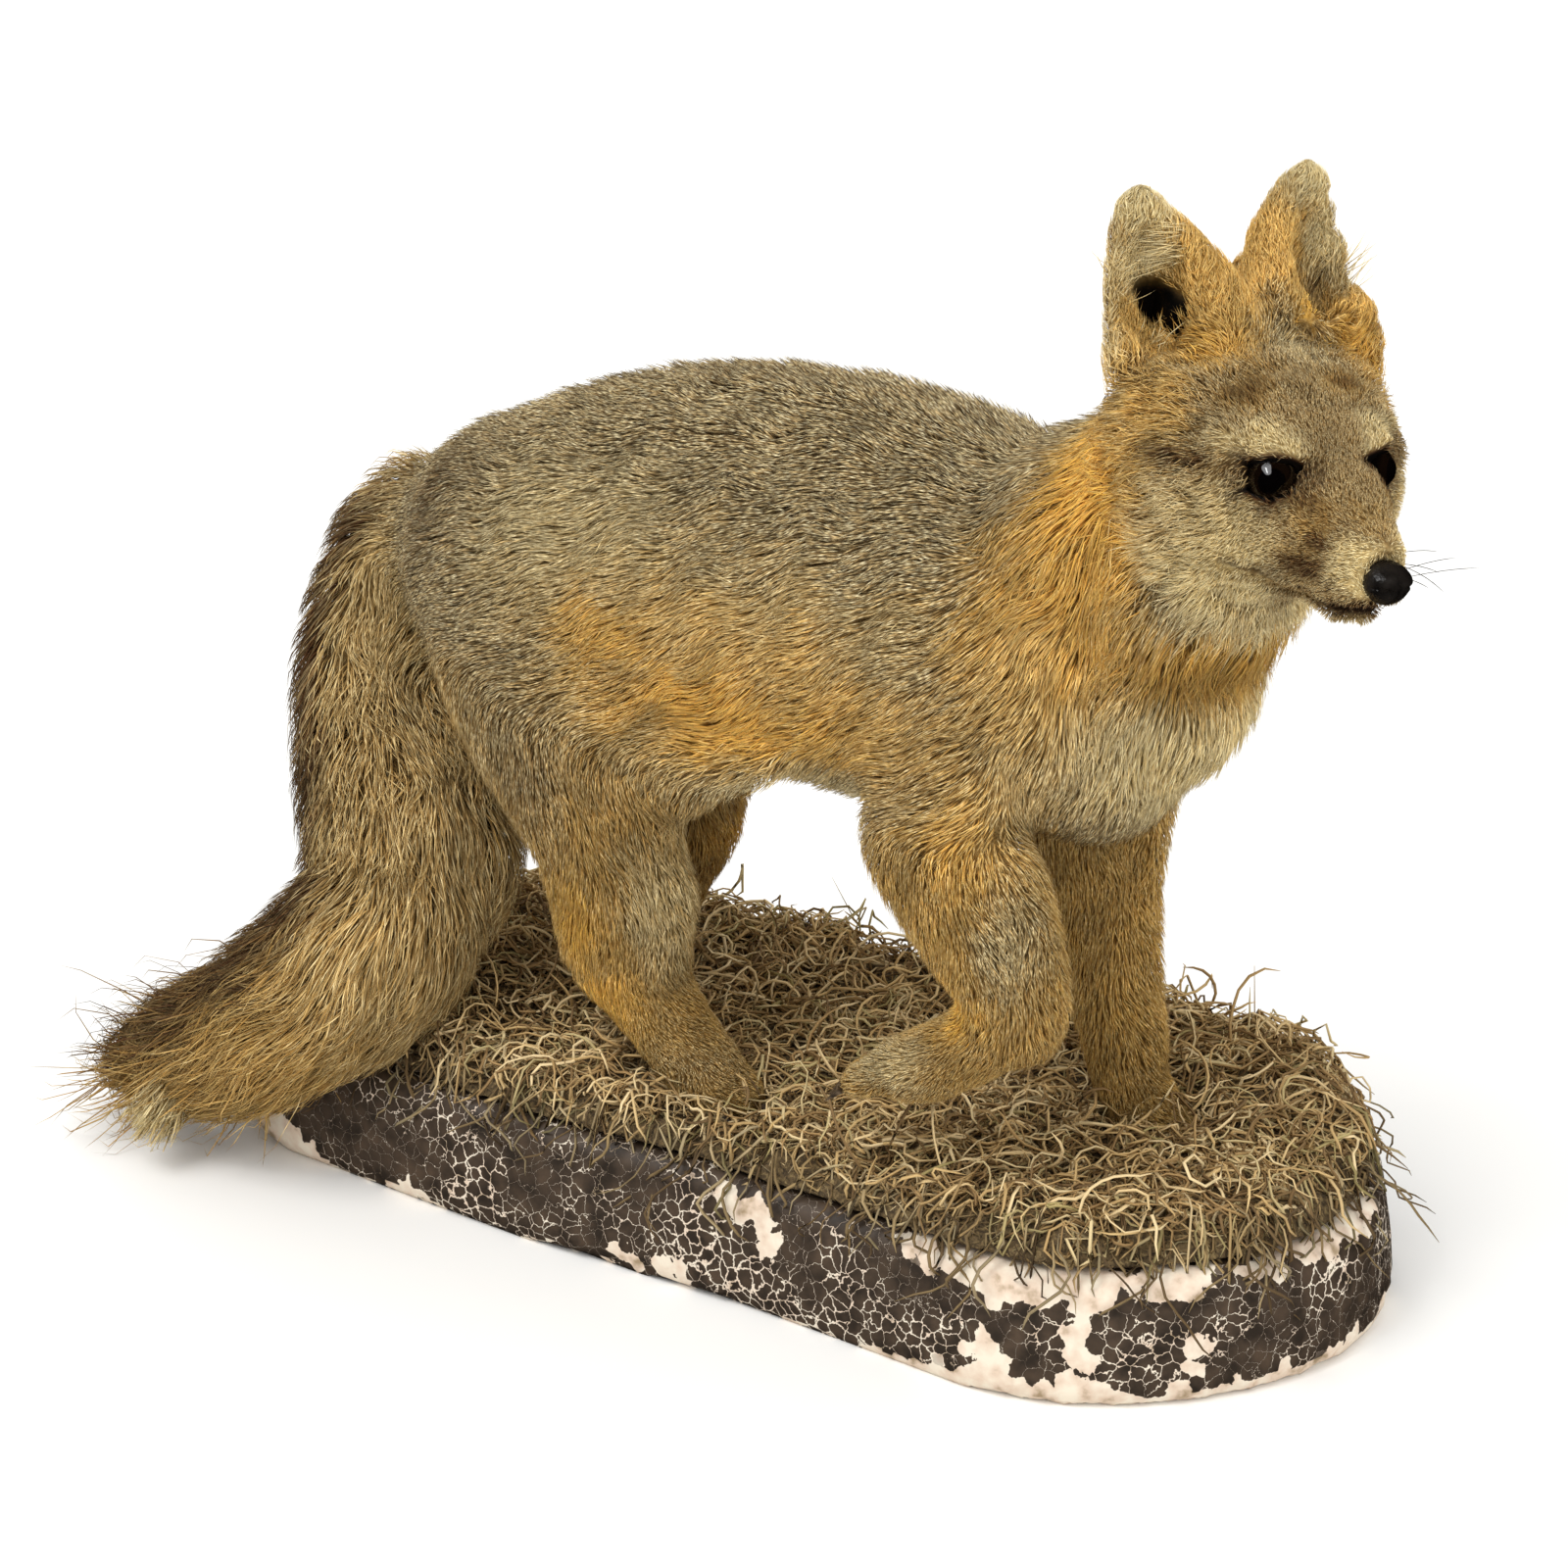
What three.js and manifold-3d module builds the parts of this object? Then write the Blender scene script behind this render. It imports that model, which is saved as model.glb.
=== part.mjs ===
// A life-size gray fox mount: the fox in a walking pose, its raised forepaw and turned head,
// on a thick rounded slab with a bed of dried moss. Millimetres, +Z up.
// The fox is modelled whole, facing +X with its middle plane at y = 0, and is then parted
// with thin cuts into the pieces that a person would name.
import * as THREE from "three";
import Module from "manifold-3d";
import { LoftGeometry } from "three/addons/geometries/LoftGeometry.js";
import { mergeVertices } from "three/addons/utils/BufferGeometryUtils.js";

const wasm = await Module();
wasm.setup();

// ---------------------------------------------------------------- driving sizes
const slabHeight = 60;
const slabCentre = { x: 44.8, y: 29.2 }; // the slab's centre, seen from the fox's middle plane
const mossTop = 79; // top of the moss bed
const cutGap = 0.3; // room left between two pieces
const eyeRadius = 9.5;
const toeSize = [12, 6.5, 7]; // half length, half width, half height
const clawLength = 11;
const farOff = 1500; // size of the boxes that stand for half of space

const LEFT = new THREE.Vector3(0, 1, 0);
const UP = new THREE.Vector3(0, 0, 1);
const sides = { right: -1, left: 1 };
const vec = (x, y, z) => new THREE.Vector3(x, y, z);
const degrees = (angle) => THREE.MathUtils.degToRad(angle);

// ---------------------------------------------------------------- solids and cuts
function solidOf(geometry, matrix) {
  const bare = new THREE.BufferGeometry().copy(geometry);
  if (matrix) bare.applyMatrix4(matrix);
  bare.deleteAttribute("normal");
  bare.deleteAttribute("uv");
  const merged = mergeVertices(bare, 1e-3);
  const index = merged.index.array;
  const faces = [];
  for (let i = 0; i < index.length; i += 3) {
    const [a, b, c] = [index[i], index[i + 1], index[i + 2]];
    if (a !== b && b !== c && c !== a) faces.push(a, b, c);
  }
  return new wasm.Manifold(
    new wasm.Mesh({
      numProp: 3,
      vertProperties: merged.attributes.position.array,
      triVerts: new Uint32Array(faces),
    }),
  );
}

function geometryOf(solid) {
  const mesh = solid.getMesh();
  const geometry = new THREE.BufferGeometry();
  geometry.setAttribute("position", new THREE.BufferAttribute(mesh.vertProperties, 3));
  geometry.setIndex(new THREE.BufferAttribute(mesh.triVerts, 1));
  geometry.computeVertexNormals();
  return geometry;
}

const joined = (solids) => solids.reduce((whole, next) => whole.add(next));

// The one piece of a cut solid that holds most of its volume.
function mainBody(solid) {
  return solid.decompose().reduce((a, b) => (a.volume() > b.volume() ? a : b));
}

// Half of space: the side of the plane through point that direction points to.
// The plane is moved along direction by inset.
function halfSpace([point, direction], inset = cutGap / 2) {
  const normal = direction.clone().normalize();
  const turn = new THREE.Quaternion().setFromUnitVectors(UP, normal);
  const centre = point.clone().addScaledVector(normal, farOff / 2 + inset);
  const place = new THREE.Matrix4().compose(centre, turn, vec(1, 1, 1));
  return solidOf(new THREE.BoxGeometry(farOff, farOff, farOff), place);
}
const opposite = ([point, direction]) => [point, direction.clone().negate()];

function ellipsoid(place, [long, wide, high], grow = 0, facets = [12, 8]) {
  const shape = new THREE.Matrix4().makeScale(long + grow, wide + grow, high + grow);
  return solidOf(new THREE.SphereGeometry(1, ...facets), place.clone().multiply(shape));
}

// ---------------------------------------------------------------- lofts
// A rounded body through stations. A station is [x, y, z, wide, up, down, box]: its centre,
// its half width along the side direction, its reach above and below the centre, and how
// boxy its section is, from 1 for an ellipse towards 0 for a square.
function fleshLoft(stations, { rings, facets, dome = 0.55, grow = 0 }) {
  const centres = new THREE.CatmullRomCurve3(
    stations.map(([x, y, z]) => vec(x, y, z)), false, "centripetal");
  const sizes = new THREE.CatmullRomCurve3(
    stations.map(([, , , wide, up, down]) => vec(wide, up, down)), false, "catmullrom", 0.5);
  const boxes = new THREE.CatmullRomCurve3(
    stations.map((station) => vec(station[6] ?? 1, 0, 0)), false, "catmullrom", 0.5);
  const ringAt = (t, scale, ahead) => {
    const tangent = centres.getTangent(t);
    const across = LEFT.clone().addScaledVector(tangent, -LEFT.dot(tangent)).normalize();
    const upward = tangent.clone().cross(across);
    const [wide, up, down] = sizes.getPoint(t).addScalar(grow).toArray();
    const box = boxes.getPoint(t).x;
    const centre = centres.getPoint(t).addScaledVector(tangent, ahead * (wide + grow));
    const ring = [];
    for (let i = 0; i < facets; i++) {
      const angle = (i / facets) * 2 * Math.PI;
      const c = Math.sign(Math.cos(angle)) * Math.abs(Math.cos(angle)) ** box;
      const s = Math.sign(Math.sin(angle)) * Math.abs(Math.sin(angle)) ** box;
      ring.push(centre.clone()
        .addScaledVector(across, scale * wide * c)
        .addScaledVector(upward, scale * (s > 0 ? up : down) * s));
    }
    return ring;
  };
  const sections = [ringAt(0, 0.45, -dome), ringAt(0, 0.82, -dome * 0.6)];
  for (let i = 0; i < rings; i++) sections.push(ringAt(i / (rings - 1), 1, 0));
  sections.push(ringAt(1, 0.82, dome * 0.6), ringAt(1, 0.45, dome));
  return new LoftGeometry(sections, { capStart: true, capEnd: true });
}

// ---------------------------------------------------------------- trunk and neck
const trunkStations = [
  [-152, 0, 302, 40, 42, 44],
  [-132, 0, 302, 60, 62, 66],
  [-100, 0, 304, 71, 70, 78],
  [-60, 0, 310, 75, 82, 82],
  [-10, 0, 316, 76, 93, 84],
  [40, 0, 322, 78, 97, 94],
  [90, 0, 324, 80, 98, 99],
  [140, 0, 322, 82, 95, 94],
  [190, -1, 322, 80, 82, 88],
  [225, -2, 322, 71, 72, 92],
  [252, -3, 322, 57, 58, 79],
  [266, -3, 320, 43, 42, 57],
];
const neckStations = [
  [168, 0, 335, 66, 64, 74],
  [205, -2, 358, 66, 59, 80],
  [238, -8, 380, 64, 54, 81],
  [262, -16, 400, 61, 50, 76],
  [284, -24, 414, 56, 42, 60],
];

// ---------------------------------------------------------------- head
// The head's own axes: forward to the nose, left and up, with the origin between the eyes.
const headPlace = new THREE.Matrix4().compose(
  vec(335, -38, 428),
  new THREE.Quaternion().setFromEuler(new THREE.Euler(degrees(-4), 0, degrees(-25), "ZYX")),
  vec(1, 1, 1));
const headPoint = (forward, left, up) => vec(forward, left, up).applyMatrix4(headPlace);
const headVector = (forward, left, up) => vec(forward, left, up).transformDirection(headPlace);
const inHead = (forward, left, up) =>
  headPlace.clone().multiply(new THREE.Matrix4().makeTranslation(forward, left, up));
const headStations = [
  [-92, 0, -12, 42, 38, 42],
  [-76, 0, -12, 54, 51, 47],
  [-56, 0, -13, 64, 54, 49],
  [-36, 0, -14, 66, 51, 48],
  [-18, 0, -15, 56, 43, 42, 0.9],
  [-4, 0, -17, 40, 33, 37, 0.85],
  [8, 0, -20, 27, 27, 33, 0.85],
  [22, 0, -25, 17.5, 20, 25, 0.9],
  [34, 0, -28, 14.5, 17, 18],
  [43, 0, -30, 11.5, 14, 12],
];
const eyeAt = [-1, 26, 0];
const noseAt = [46, 0, -28];
const noseSize = [9, 9.5, 9];
// Swellings of the head: forward, left, up, then half sizes. Those off the middle are paired.
const headLumps = [
  [[-53, 34, 6], [36, 30, 32]], // root of the ear
  [[32, 7.5, -35], [14, 9, 9]], // whisker pad
  [[-68, 0, 24], [30, 30, 26]], // crown between the ears
  [[18, 0, -43], [23, 12, 12]], // lower jaw
];

// An ear is a leaf with a hollow front. Each row is [height, half width, depth of its
// rounded back, how far its middle stands out to the side].
const earRows = [
  [-14, 25, 25, -3],
  [2, 27, 24, -2],
  [14, 27, 23, -1],
  [30, 24, 20, 2],
  [46, 19, 15, 6],
  [58, 14, 10, 9],
  [66, 9, 6, 11],
  [71, 4, 3, 12],
];
const earShell = 6; // thickness of the ear's wall with its hair
const earAcross = 7; // points across its back, and as many across its hollow
// How an ear stands: turned outwards, leaning outwards and leaning back in degrees, then
// how far out its foot is, and its length against the rows above.
const earStance = { right: [28, 4, 15, 36, 0.94], left: [10, -14, 15, 43, 1.05] };
function earGeometry(out) {
  const sections = earRows.map(([height, half, depth, stand], row) => {
    const thick = Math.min(earShell, half * 0.8, depth);
    const ring = [];
    for (let i = 0; i < earAcross * 2; i++) {
      const behind = i < earAcross;
      const turn = behind ? i / (earAcross - 1) : 2 - i / (earAcross - 1) + 1 / (earAcross - 1);
      const reach = half - (behind ? 0 : thick * 0.6);
      const back = Math.sin(Math.PI * turn) * (depth - (behind ? 0 : thick));
      const across = Math.cos(Math.PI * turn) * reach + stand;
      ring.push(vec(-back - (behind ? 1.5 : 0), across * out, height));
    }
    return out < 0 ? ring.reverse() : ring;
  });
  return new LoftGeometry(sections, { capStart: true, capEnd: true });
}
function earPlace(sideName) {
  const out = sides[sideName];
  const [turn, lean, back, foot, length] = earStance[sideName];
  const stance = new THREE.Euler(degrees(-lean * out), degrees(-back), degrees(turn * out), "ZYX");
  return inHead(-59, out * foot, 33)
    .multiply(new THREE.Matrix4().makeRotationFromEuler(stance))
    .multiply(new THREE.Matrix4().makeScale(1, 1, length));
}

// ---------------------------------------------------------------- legs
// Stations of a leg: x, y, z, half side-to-side, fore reach, rear reach. Its cuts are planes
// that face down the leg: at its root under the body, at the knee and at the wrist or hock.
const legs = {
  fore_right: {
    upper: [
      [196, -44, 330, 26, 40, 42],
      [180, -51, 285, 30, 38, 48],
      [180, -60, 248, 28, 34, 52],
      [190, -62, 224, 25, 31, 39],
      [203, -62, 200, 22, 27, 31],
      [211, -62, 178, 19, 24, 22],
      [208, -62, 160, 17, 20, 18],
    ],
    paw: [
      [208, -62, 168, 15, 18, 16],
      [190, -62, 150, 16, 16, 14],
      [168, -62, 137, 17, 18, 12],
      [153, -62, 130, 16, 16, 10],
    ],
    root: [vec(180, 0, 244), vec(0, 0, -1)],
    wrist: [vec(204, 0, 160), vec(-0.75, 0, -0.66)],
  },
  fore_left: {
    upper: [
      [200, 42, 330, 26, 40, 42],
      [184, 48, 285, 30, 42, 42],
      [178, 49, 240, 26, 46, 36],
      [184, 48, 200, 21, 31, 28],
      [193, 47, 160, 18, 23, 21],
      [200, 46, 130, 16, 19, 18],
      [206, 46, 105, 15, 17, 16],
    ],
    paw: [
      [204, 46, 108, 15, 16, 15],
      [212, 46, 90, 16, 14, 14],
      [224, 46, 78, 17, 11, 17],
    ],
    root: [vec(180, 0, 244), vec(0, 0, -1)],
    wrist: [vec(205, 0, 104), vec(0.2, 0, -1)],
  },
  hind_right: {
    upper: [
      [-92, -34, 318, 36, 52, 50],
      [-70, -44, 280, 37, 62, 58],
      [-44, -50, 240, 34, 62, 54],
      [-24, -53, 205, 28, 50, 42],
      [-12, -51, 172, 23, 38, 36],
      [-8, -49, 142, 19, 29, 39],
      [-4, -47, 122, 17, 25, 34],
    ],
    paw: [
      [-8, -47, 130, 16, 22, 27],
      [6, -45, 110, 16, 20, 21],
      [20, -43, 92, 17, 17, 17],
      [38, -42, 78, 17, 12, 17],
    ],
    root: [vec(56, 0, 226), vec(-0.28, 0, -1)],
    wrist: [vec(-4, 0, 118), vec(0.75, 0, -1)],
    knee: [vec(-10, 0, 176), vec(0.1, 0, -1)],
  },
  hind_left: {
    upper: [
      [-96, 34, 318, 36, 52, 50],
      [-80, 43, 280, 37, 60, 56],
      [-62, 47, 240, 34, 56, 50],
      [-52, 48, 205, 28, 46, 42],
      [-56, 48, 172, 23, 36, 38],
      [-70, 47, 142, 19, 36, 30],
      [-80, 46, 122, 17, 36, 26],
    ],
    paw: [
      [-86, 46, 132, 16, 24, 22],
      [-84, 45, 110, 16, 22, 20],
      [-80, 43, 92, 17, 17, 17],
      [-72, 42, 78, 17, 12, 17],
    ],
    root: [vec(56, 0, 226), vec(-0.28, 0, -1)],
    wrist: [vec(-80, 0, 118), vec(0.5, 0, -1)],
    knee: [vec(-60, 0, 176), vec(-0.25, 0, -1)],
  },
};

// Toes: [forward, sideways, turn outwards in degrees] from the paw's own middle.
const toes = [[3, -12, -14], [9, -4.2, -5], [9, 4.2, 5], [3, 12, 14]];
const pawPlace = (x, y, z, pitch, yaw = 0) => new THREE.Matrix4().compose(
  vec(x, y, z),
  new THREE.Quaternion().setFromEuler(new THREE.Euler(0, degrees(pitch), degrees(yaw), "ZYX")),
  vec(1, 1, 1));
const paws = {
  fore_right: pawPlace(147, -62, 125, 27, 180),
  fore_left: pawPlace(223, 46, 74, 8),
  hind_right: pawPlace(40, -42, 74, 8),
  hind_left: pawPlace(-70, 42, 74, 8),
};
const toePlace = (paw, [forward, sideways, turn]) => paw.clone()
  .multiply(new THREE.Matrix4().makeTranslation(forward, sideways, 0))
  .multiply(new THREE.Matrix4().makeRotationZ(degrees(turn)));

// ---------------------------------------------------------------- tail
// The tail drops from the rump and bends outwards at the knee's height into a thick brush.
const tailDrop = [
  [-146, 0, 318, 22, 22, 24],
  [-170, -2, 312, 25, 23, 28],
  [-185, -6, 288, 28, 26, 29],
  [-191, -18, 250, 31, 31, 32],
  [-184, -28, 216, 37, 37, 38],
  [-160, -42, 184, 44, 44, 45],
  [-136, -60, 156, 49, 48, 49],
  [-126, -76, 134, 44, 44, 44],
];
const tailBrush = [
  [-116, -72, 146, 38, 38, 38],
  [-130, -86, 124, 48, 48, 47],
  [-150, -103, 101, 46, 47, 44],
  [-180, -114, 77, 41, 43, 38],
  [-210, -119, 57, 37, 41, 36],
  [-240, -122, 42, 31, 36, 30],
  [-266, -124, 32, 23, 28, 21],
  [-284, -125, 27, 13, 17, 13],
];
const tailCuts = [
  [vec(-190, -16, 258), vec(0, -0.25, -1)],
  [vec(-140, -70, 150), vec(0.1, -0.8, -0.6)],
];

// ---------------------------------------------------------------- slab and moss
// The slab's rounded outline at its foot, counterclockwise from above.
const slabCorners = [
  [-205, -102], [-123, -108], [-40, -107], [50, -99], [150, -94], [228, -93], [281, -66],
  [322, -16], [338, 40], [324, 98], [288, 142], [220, 166], [120, 156], [20, 138],
  [-80, 122], [-170, 108], [-228, 70], [-248, 5], [-240, -60],
];
const slabCurve = new THREE.CatmullRomCurve3(
  slabCorners.map(([x, y]) => vec(x, y, 0)), true, "centripetal");
const slabFacets = 44;
function slabRing(z, inset, wave = 0) {
  const ring = [];
  for (let i = 0; i < slabFacets; i++) {
    const t = i / slabFacets;
    const outward = slabCurve.getTangent(t).cross(UP).normalize();
    const ripple = wave * (Math.sin(t * 71) + 0.6 * Math.sin(t * 143 + 1));
    const point = slabCurve.getPoint(t).addScaledVector(outward, ripple - inset);
    ring.push(point.setZ(z + ripple * 0.4));
  }
  return ring;
}
const ringSolid = (rings) => solidOf(new LoftGeometry(rings, { capStart: true, capEnd: true }));

// ---------------------------------------------------------------- materials
const finish = (color, roughness = 0.9) =>
  new THREE.MeshStandardMaterial({ color, roughness, metalness: 0 });
const grizzledCoat = finish(0x8c8068);
const rufousCoat = finish(0xb98742);
const faceCoat = finish(0xa08a62);
const tailCoat = finish(0x7d6b48);
const eyeGlass = finish(0x0b0808, 0.08);
const noseSkin = finish(0x1c1918, 0.45);
const clawHorn = finish(0x4a4034, 0.5);
const crackledPaint = finish(0x3a302b, 0.75);
const driedMoss = finish(0x8a7650, 0.95);

const pieces = new THREE.Group();
pieces.position.set(-slabCentre.x, -slabCentre.y, 0);
function addPiece(name, solid, material) {
  const mesh = new THREE.Mesh(geometryOf(mainBody(solid)), material);
  mesh.name = name;
  pieces.add(mesh);
}

// ---------------------------------------------------------------- the fox, whole
function coreSolid(grow = 0) {
  const solids = [
    solidOf(fleshLoft(trunkStations, { rings: 12, facets: 17, grow })),
    solidOf(fleshLoft(neckStations, { rings: 6, facets: 14, grow })),
    solidOf(fleshLoft(headStations, { rings: 13, facets: 18, dome: 0.35, grow }), headPlace),
  ];
  for (const [[forward, left, up], size] of headLumps)
    for (const out of left ? [-1, 1] : [1])
      solids.push(ellipsoid(inHead(forward, out * left, up), size, grow, [9, 6]));
  return joined(solids);
}
function legSolid(name, grow = 0) {
  const { upper, paw } = legs[name];
  return joined([
    solidOf(fleshLoft(upper, { rings: 8, facets: 10, grow })),
    solidOf(fleshLoft(paw, { rings: 4, facets: 9, grow })),
    ...toes.map((toe) => ellipsoid(toePlace(paws[name], toe), toeSize, grow, [6, 4])),
  ]);
}
const legNames = Object.keys(legs);
const core = coreSolid();
const coreWithRoom = coreSolid(cutGap);
const shoulders = legNames.map((name) =>
  legSolid(name).intersect(halfSpace(opposite(legs[name].root))));
const body = joined([core, ...shoulders]);
const foxWithRoom = joined([coreWithRoom, ...legNames.map((name) => legSolid(name, cutGap))]);

// ---------------------------------------------------------------- trunk, neck and head
const neckCut = [vec(158, 0, 402), vec(0.63, 0, 0.78)];
const headCut = [headPoint(-62, 0, -10), headVector(1, 0, 0.5)];
const foreEnd = body.intersect(halfSpace(neckCut));
addPiece("trunk", body.intersect(halfSpace(opposite(neckCut))), grizzledCoat);
addPiece("neck", foreEnd.intersect(halfSpace(opposite(headCut))), rufousCoat);

let skull = foreEnd.intersect(halfSpace(headCut));
for (const [sideName, out] of Object.entries(sides)) {
  const place = inHead(eyeAt[0], out * eyeAt[1], eyeAt[2]);
  const ball = (grow) => ellipsoid(place, [eyeRadius, eyeRadius, eyeRadius], grow, [12, 8]);
  skull = skull.subtract(ball(cutGap));
  addPiece(`eye_${sideName}`, ball(0), eyeGlass);
  addPiece(`ear_${sideName}`,
    solidOf(earGeometry(out), earPlace(sideName)).subtract(foxWithRoom), rufousCoat);
}
skull = skull.subtract(ellipsoid(inHead(...noseAt), noseSize, cutGap, [10, 7]));
addPiece("nose_pad", ellipsoid(inHead(...noseAt), noseSize, 0, [10, 7]), noseSkin);
addPiece("head", skull, faceCoat);

// ---------------------------------------------------------------- legs and claws
function clawSolid(name, toe) {
  const tip = toePlace(paws[name], toe)
    .multiply(new THREE.Matrix4().makeTranslation(toeSize[0] + cutGap, 0, -1))
    .multiply(new THREE.Matrix4().makeRotationY(degrees(18)));
  return solidOf(new THREE.ConeGeometry(2.2, clawLength, 5)
    .translate(0, clawLength / 2, 0).rotateZ(-Math.PI / 2), tip);
}
for (const name of legNames) {
  const [kind, sideName] = name.split("_");
  const { root, knee, wrist } = legs[name];
  const free = mainBody(legSolid(name).intersect(halfSpace(root)).subtract(coreWithRoom));
  const upper = free.intersect(halfSpace(opposite(wrist)));
  if (knee) {
    addPiece(`thigh_${sideName}`, upper.intersect(halfSpace(opposite(knee))), grizzledCoat);
    addPiece(`shank_${sideName}`, upper.intersect(halfSpace(knee)), rufousCoat);
  } else {
    addPiece(`foreleg_${sideName}`, upper, rufousCoat);
  }
  addPiece(`${kind}paw_${sideName}`, free.intersect(halfSpace(wrist)), rufousCoat);
  toes.forEach((toe, i) => addPiece(`claw_${name}_${i + 1}`, clawSolid(name, toe), clawHorn));
}

// ---------------------------------------------------------------- tail and mount
const slabSolid = ringSolid(
  [slabRing(0, 3), slabRing(3, 0), slabRing(30, 2), slabRing(54, 6), slabRing(slabHeight, 11)]);
const slabWithRoom = ringSolid(
  [slabRing(-1, -1), slabRing(3, -1), slabRing(30, 1), slabRing(54, 5), slabRing(slabHeight + 1, 10)]);
const mossSolid = ringSolid([
  slabRing(slabHeight + cutGap, 16), slabRing(66, 12, 1.5), slabRing(74, 17, 2),
  slabRing(mossTop, 32, 2)]);
const tailLoft = (grow) => joined([tailDrop, tailBrush].map((stations) =>
  solidOf(fleshLoft(stations, { rings: 9, facets: 12, dome: 0.5, grow }))));
const tail = mainBody(tailLoft(0).subtract(foxWithRoom).subtract(slabWithRoom));
const beyondRoot = tail.intersect(halfSpace(tailCuts[0]));
addPiece("tail_root", tail.intersect(halfSpace(opposite(tailCuts[0]))), tailCoat);
addPiece("tail_middle", beyondRoot.intersect(halfSpace(opposite(tailCuts[1]))), tailCoat);
addPiece("tail_brush", beyondRoot.intersect(halfSpace(tailCuts[1])), tailCoat);

// Each planted paw stands in a pocket of the moss, an oval a little larger than the paw.
const pocketFor = (name) => solidOf(
  new THREE.CylinderGeometry(1, 1, 60, 14).rotateX(Math.PI / 2).scale(40, 25, 1), paws[name]);
addPiece("base_slab", slabSolid, crackledPaint);
addPiece("moss_bed", mossSolid.subtract(tailLoft(cutGap))
  .subtract(joined(["fore_left", "hind_right", "hind_left"].map(pocketFor))), driedMoss);

export default pieces;
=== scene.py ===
import math

import bmesh
import bpy
import numpy as np
from mathutils import Euler, Matrix, Vector
from mathutils.bvhtree import BVHTree


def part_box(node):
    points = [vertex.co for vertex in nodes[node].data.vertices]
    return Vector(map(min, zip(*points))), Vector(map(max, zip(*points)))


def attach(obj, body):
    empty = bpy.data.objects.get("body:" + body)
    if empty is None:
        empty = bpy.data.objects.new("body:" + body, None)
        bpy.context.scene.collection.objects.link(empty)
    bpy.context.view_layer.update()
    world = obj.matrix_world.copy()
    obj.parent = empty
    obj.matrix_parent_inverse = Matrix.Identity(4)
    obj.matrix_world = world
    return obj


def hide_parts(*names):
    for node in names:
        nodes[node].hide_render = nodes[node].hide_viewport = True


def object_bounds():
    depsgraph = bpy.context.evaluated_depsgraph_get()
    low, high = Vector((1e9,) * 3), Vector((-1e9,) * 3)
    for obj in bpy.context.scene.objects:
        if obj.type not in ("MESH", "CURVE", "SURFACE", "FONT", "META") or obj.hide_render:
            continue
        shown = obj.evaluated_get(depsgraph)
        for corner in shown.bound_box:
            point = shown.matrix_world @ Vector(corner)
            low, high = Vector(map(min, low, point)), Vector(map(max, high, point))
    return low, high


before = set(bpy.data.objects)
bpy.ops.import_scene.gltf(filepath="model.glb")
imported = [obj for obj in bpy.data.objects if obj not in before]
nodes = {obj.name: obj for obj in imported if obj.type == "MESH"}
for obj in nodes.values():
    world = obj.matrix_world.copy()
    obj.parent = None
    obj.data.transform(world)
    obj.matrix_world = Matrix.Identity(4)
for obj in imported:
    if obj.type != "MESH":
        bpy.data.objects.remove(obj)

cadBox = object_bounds()
scene = bpy.context.scene
print("frame loaded:", len(nodes), "nodes")

# The animal has its own millimetres: x towards the chest, y to its left, z up from under the slab.
# The head has its own too: forward, left, up.
stance = dict(offset=(44.8, 29.2, 0), headAt=(335, -38, 428), headTurn=(-4, 0, -25))
offset = np.array(stance["offset"], float)
headAt = np.array(stance["headAt"], float)
headAxes = np.array(Euler([math.radians(turn) for turn in stance["headTurn"]]).to_matrix())
tiny = 1e-9


def toAnimal(metres):
    return np.asarray(metres, float) * 1000 + offset


def toFrame(animal):
    return (np.asarray(animal, float) - offset) / 1000


def toHead(animal):
    return (np.asarray(animal, float) - headAt) @ headAxes


def fromHead(head):
    return np.asarray(head, float) @ headAxes.T + headAt


def rise(value, low, high):
    part = np.clip((value - low) / (high - low), 0, 1)
    return part * part * (3 - 2 * part)


def unit(vectors):
    return vectors / (np.linalg.norm(vectors, axis=-1, keepdims=True) + tiny)


def ripple(points, size, seed, waveCount=9):
    # Smooth noise of about -1 to 1 from waves in random directions.
    draw = np.random.default_rng(seed)
    total = np.zeros(len(points))
    for _ in range(waveCount):
        way = draw.normal(size=3)
        way *= 2 * math.pi * draw.uniform(0.6, 1.5) / (size * np.linalg.norm(way))
        total += np.sin(points @ way + draw.uniform(0, 2 * math.pi))
    return total / math.sqrt(waveCount)


def alongLine(points, line):
    # For each point: distance to the line, the line's direction there and the share of the way along it.
    line = np.array(line, float)
    lengths = np.linalg.norm(np.diff(line, axis=0), axis=1)
    starts = np.concatenate([[0], np.cumsum(lengths)])
    best = np.full(len(points), 1e9)
    way = np.zeros((len(points), 3))
    share = np.zeros(len(points))
    centre = np.zeros((len(points), 3))
    for index, length in enumerate(lengths):
        step = (line[index + 1] - line[index]) / length
        run = np.clip((points - line[index]) @ step, 0, length)
        near = line[index] + run[:, None] * step
        gap = np.linalg.norm(points - near, axis=1)
        closer = gap < best
        best[closer] = gap[closer]
        way[closer] = step
        share[closer] = ((starts[index] + run) / starts[-1])[closer]
        centre[closer] = near[closer]
    return best, way, share, centre


# ---- camera
view = dict(azimuth=36, elevation=22, distance=1.75, aim=(-0.0448, 0.0358, 0.185), lens=82.7)


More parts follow.
